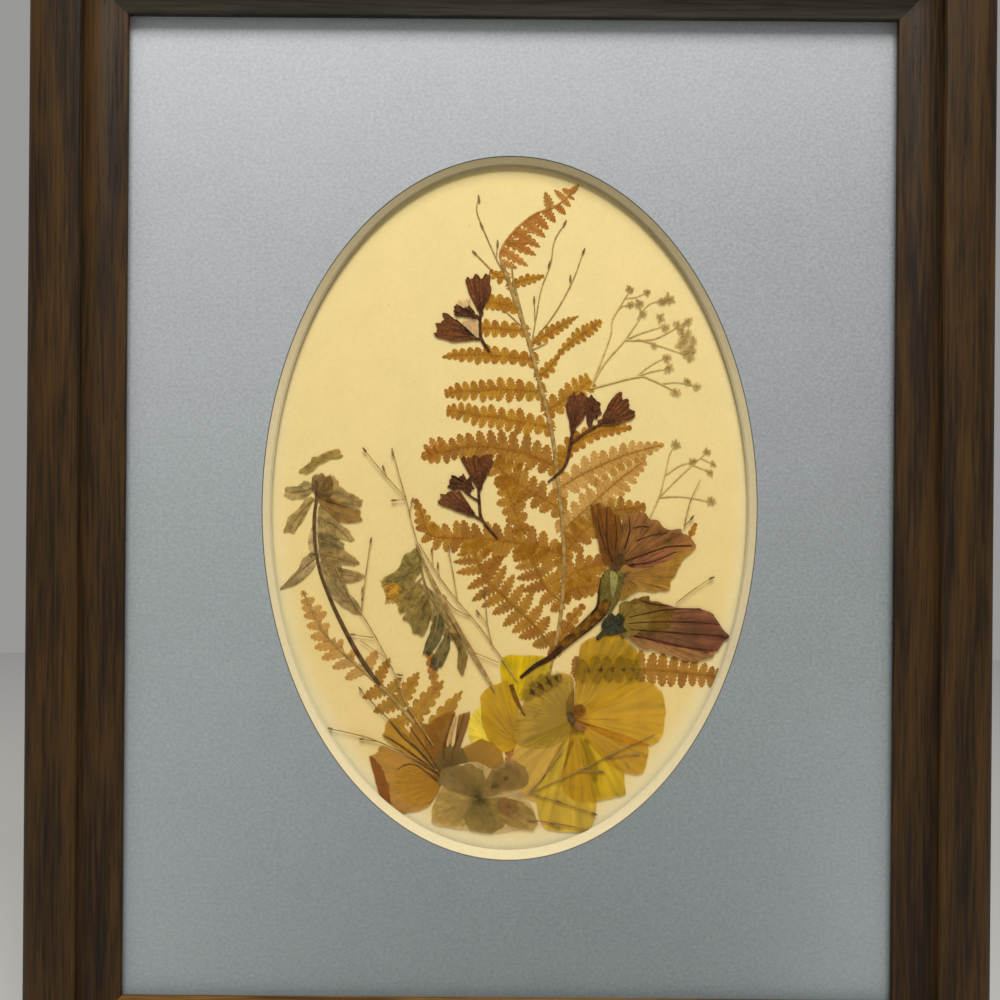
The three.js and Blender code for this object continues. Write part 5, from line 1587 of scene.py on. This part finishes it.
press("lobed_leaf_middle", "leaf", [
    petals("middle_leaf", MIDDLE_REAR + LIFT, MIDDLE_LOBES, LEAF_DARK, 0.5),
    stems(MIDDLE_VEINS, MIDDLE_REAR + 10 * LIFT, LEAF_VEIN, 0.06)])


# ---- Twigs -----------------------------------------------------------------------------------
# Budded grass twigs no thicker than a hair, with a slim bud at each end. The long one has a
# broad flattened stem, and the ones at the foot are darker.
TWIG = stalk_finish("grass_twig", (190, 154, 92), (152, 118, 64))
BROAD_TWIG = stalk_finish("broad_twig", (186, 148, 88), (150, 112, 62))
SHADED_TWIG = stalk_finish("shaded_twig", (156, 120, 66), (120, 88, 44))
BUD_SKIN = stalk_finish("grass_bud", (158, 126, 74), (114, 86, 46))
BUD = cutout("grass_bud", [
    (0.10, 0.0), (0.34, 0.16), (0.46, 0.36), (0.40, 0.60), (0.24, 0.80), (0.30, 0.90), (0.08, 0.92),
    (0.0, 1.0)])
TWIG_WIDE = 1.15
TWIG_TIP_WIDE = 0.85
BUD_WIDE = 2.6


def twig(name, layer_stems, buds, broad=(), skin=TWIG):
    """Thin stems, buds as (u, v, degrees from level, length), and any broad stems with widths."""
    rear = rear_of(name)
    paths = [[(u, v, TWIG_WIDE if i else TWIG_TIP_WIDE) for i, (u, v) in enumerate(path)]
             for path in layer_stems]
    rows = []
    for u, v, degrees, length in buds:
        du = math.cos(math.radians(degrees)) * length / 2
        dv = -math.sin(math.radians(degrees)) * length / 2
        rows.append((u - du, v - dv, u + du, v + dv, BUD_WIDE))
    parts = [stems(paths, rear + LAYER_T * 0.5, skin, 0.7),
             set_out(rows, rear + LAYER_T * 0.6, BUD, BUD_SKIN, LAYER_T * 1.2, 13)]
    if broad:
        parts.append(stems(broad, rear + LAYER_T * 0.5, BROAD_TWIG, 0.16))
    press(name, "grass", parts)


twig("twig_top_left", [
    [(477, 198), (475, 211), (482, 230), (495, 259), (502, 272)], [(496, 242), (495, 259)],
], [(477, 199, 100, 9), (480, 226, 115, 9), (496, 244, 90, 9)])
twig("twig_top_left_low", [[(472, 252), (481, 261), (490, 270)]], [(473, 253, 135, 7)])
twig("twig_top_right", [
    [(564, 222), (553, 240), (549, 264), (540, 289), (535, 318), (531, 342)],
    [(582, 250), (571, 281), (553, 314), (531, 342)], [(569, 277), (569, 287)],
    [(533, 298), (534, 322)], [(547, 342), (531, 349), (531, 340)],
], [(563, 223, 65, 8), (548, 264, 75, 9), (582, 251, 70, 8), (569, 278, 90, 8), (533, 300, 90, 9)])
twig("twig_long", [
    [(393, 451), (401, 480), (407, 500), (414, 528), (424, 560), (438, 592), (457, 626), (477, 660),
     (497, 690)],
    [(364, 450), (384, 474), (406, 498)], [(384, 467), (387, 477)], [(394, 501), (407, 500)],
    [(413, 500), (410, 514)], [(471, 650), (501, 662)],
], [(365, 451, 130, 7), (393, 453, 100, 9), (384, 469, 110, 7), (395, 501, 5, 7), (413, 501, 70, 7)],
    [[(417, 545, 1.4), (424, 560, 2.4), (438, 588, 3.2), (457, 622, 3.4), (477, 656, 3.2),
      (497, 690, 2.2)]])
twig("twig_long_thin", [
    [(420, 544), (440, 576), (459, 601), (480, 625), (500, 653), (520, 682)],
    [(433, 549), (434, 566)], [(439, 566), (441, 579)], [(449, 549), (454, 572), (459, 601)],
    [(446, 597), (455, 608), (471, 616)], [(486, 590), (489, 624), (495, 648)], [(479, 611), (490, 626)],
], [(433, 550, 80, 6), (439, 565, 90, 7), (450, 549, 100, 7), (446, 597, 130, 7), (486, 592, 85, 7),
    (479, 612, 120, 7)])
twig("twig_left", [
    [(337, 568), (352, 597), (374, 631), (397, 674), (409, 704), (436, 745)],
    [(372, 541), (367, 577), (363, 614)], [(352, 635), (376, 638)], [(362, 641), (388, 658)],
    [(397, 674), (405, 675)],
], [(372, 541, 80, 7), (364, 590, 80, 7), (364, 599, 85, 7), (355, 635, 0, 6), (402, 675, -10, 7)])
twig("twig_bottom_left", [
    [(363, 690), (372, 700), (396, 724), (418, 744), (441, 771)],
    [(332, 729), (371, 738), (404, 752), (441, 771)], [(365, 739), (380, 741.5)],
], [(363, 690, 125, 7), (333, 729, 165, 6), (365, 739, 0, 6)], skin=SHADED_TWIG)
twig("twig_bottom_right", [
    [(657, 732), (619, 750), (590, 765), (563, 778), (532, 792)], [(638, 752), (612, 756)],
    [(604, 770), (578, 769)], [(563, 751), (550, 770), (532, 792)],
    [(597, 812), (560, 800), (532, 792)],
], [(638, 752, 0, 8), (611, 755, 10, 7), (604, 770, -15, 7), (563, 751, 60, 7), (597, 812, -20, 7),
    (561, 800, -20, 7)], skin=SHADED_TWIG)
twig("twig_bottom_low", [
    [(591, 828), (560, 822), (530, 818)], [(562, 826), (550, 820)],
], [(591, 828, -10, 6), (561, 825, -30, 6)], skin=SHADED_TWIG)
twig("twig_right", [
    [(700, 478), (690, 500), (684, 526)], [(693, 515), (685, 524)],
], [(692, 516, 50, 7)])
twig("twig_right_low", [
    [(712, 576), (695, 587), (676, 602)],
], [(712, 576, 25, 7)])
press("stem_stub", "leaf", [
    stems([[(513, 684, 4), (518, 698, 4), (527, 715, 1.5)]], rear_of("stem_stub") + LAYER_T * 0.5,
          BROAD_STEM, 0.3)])
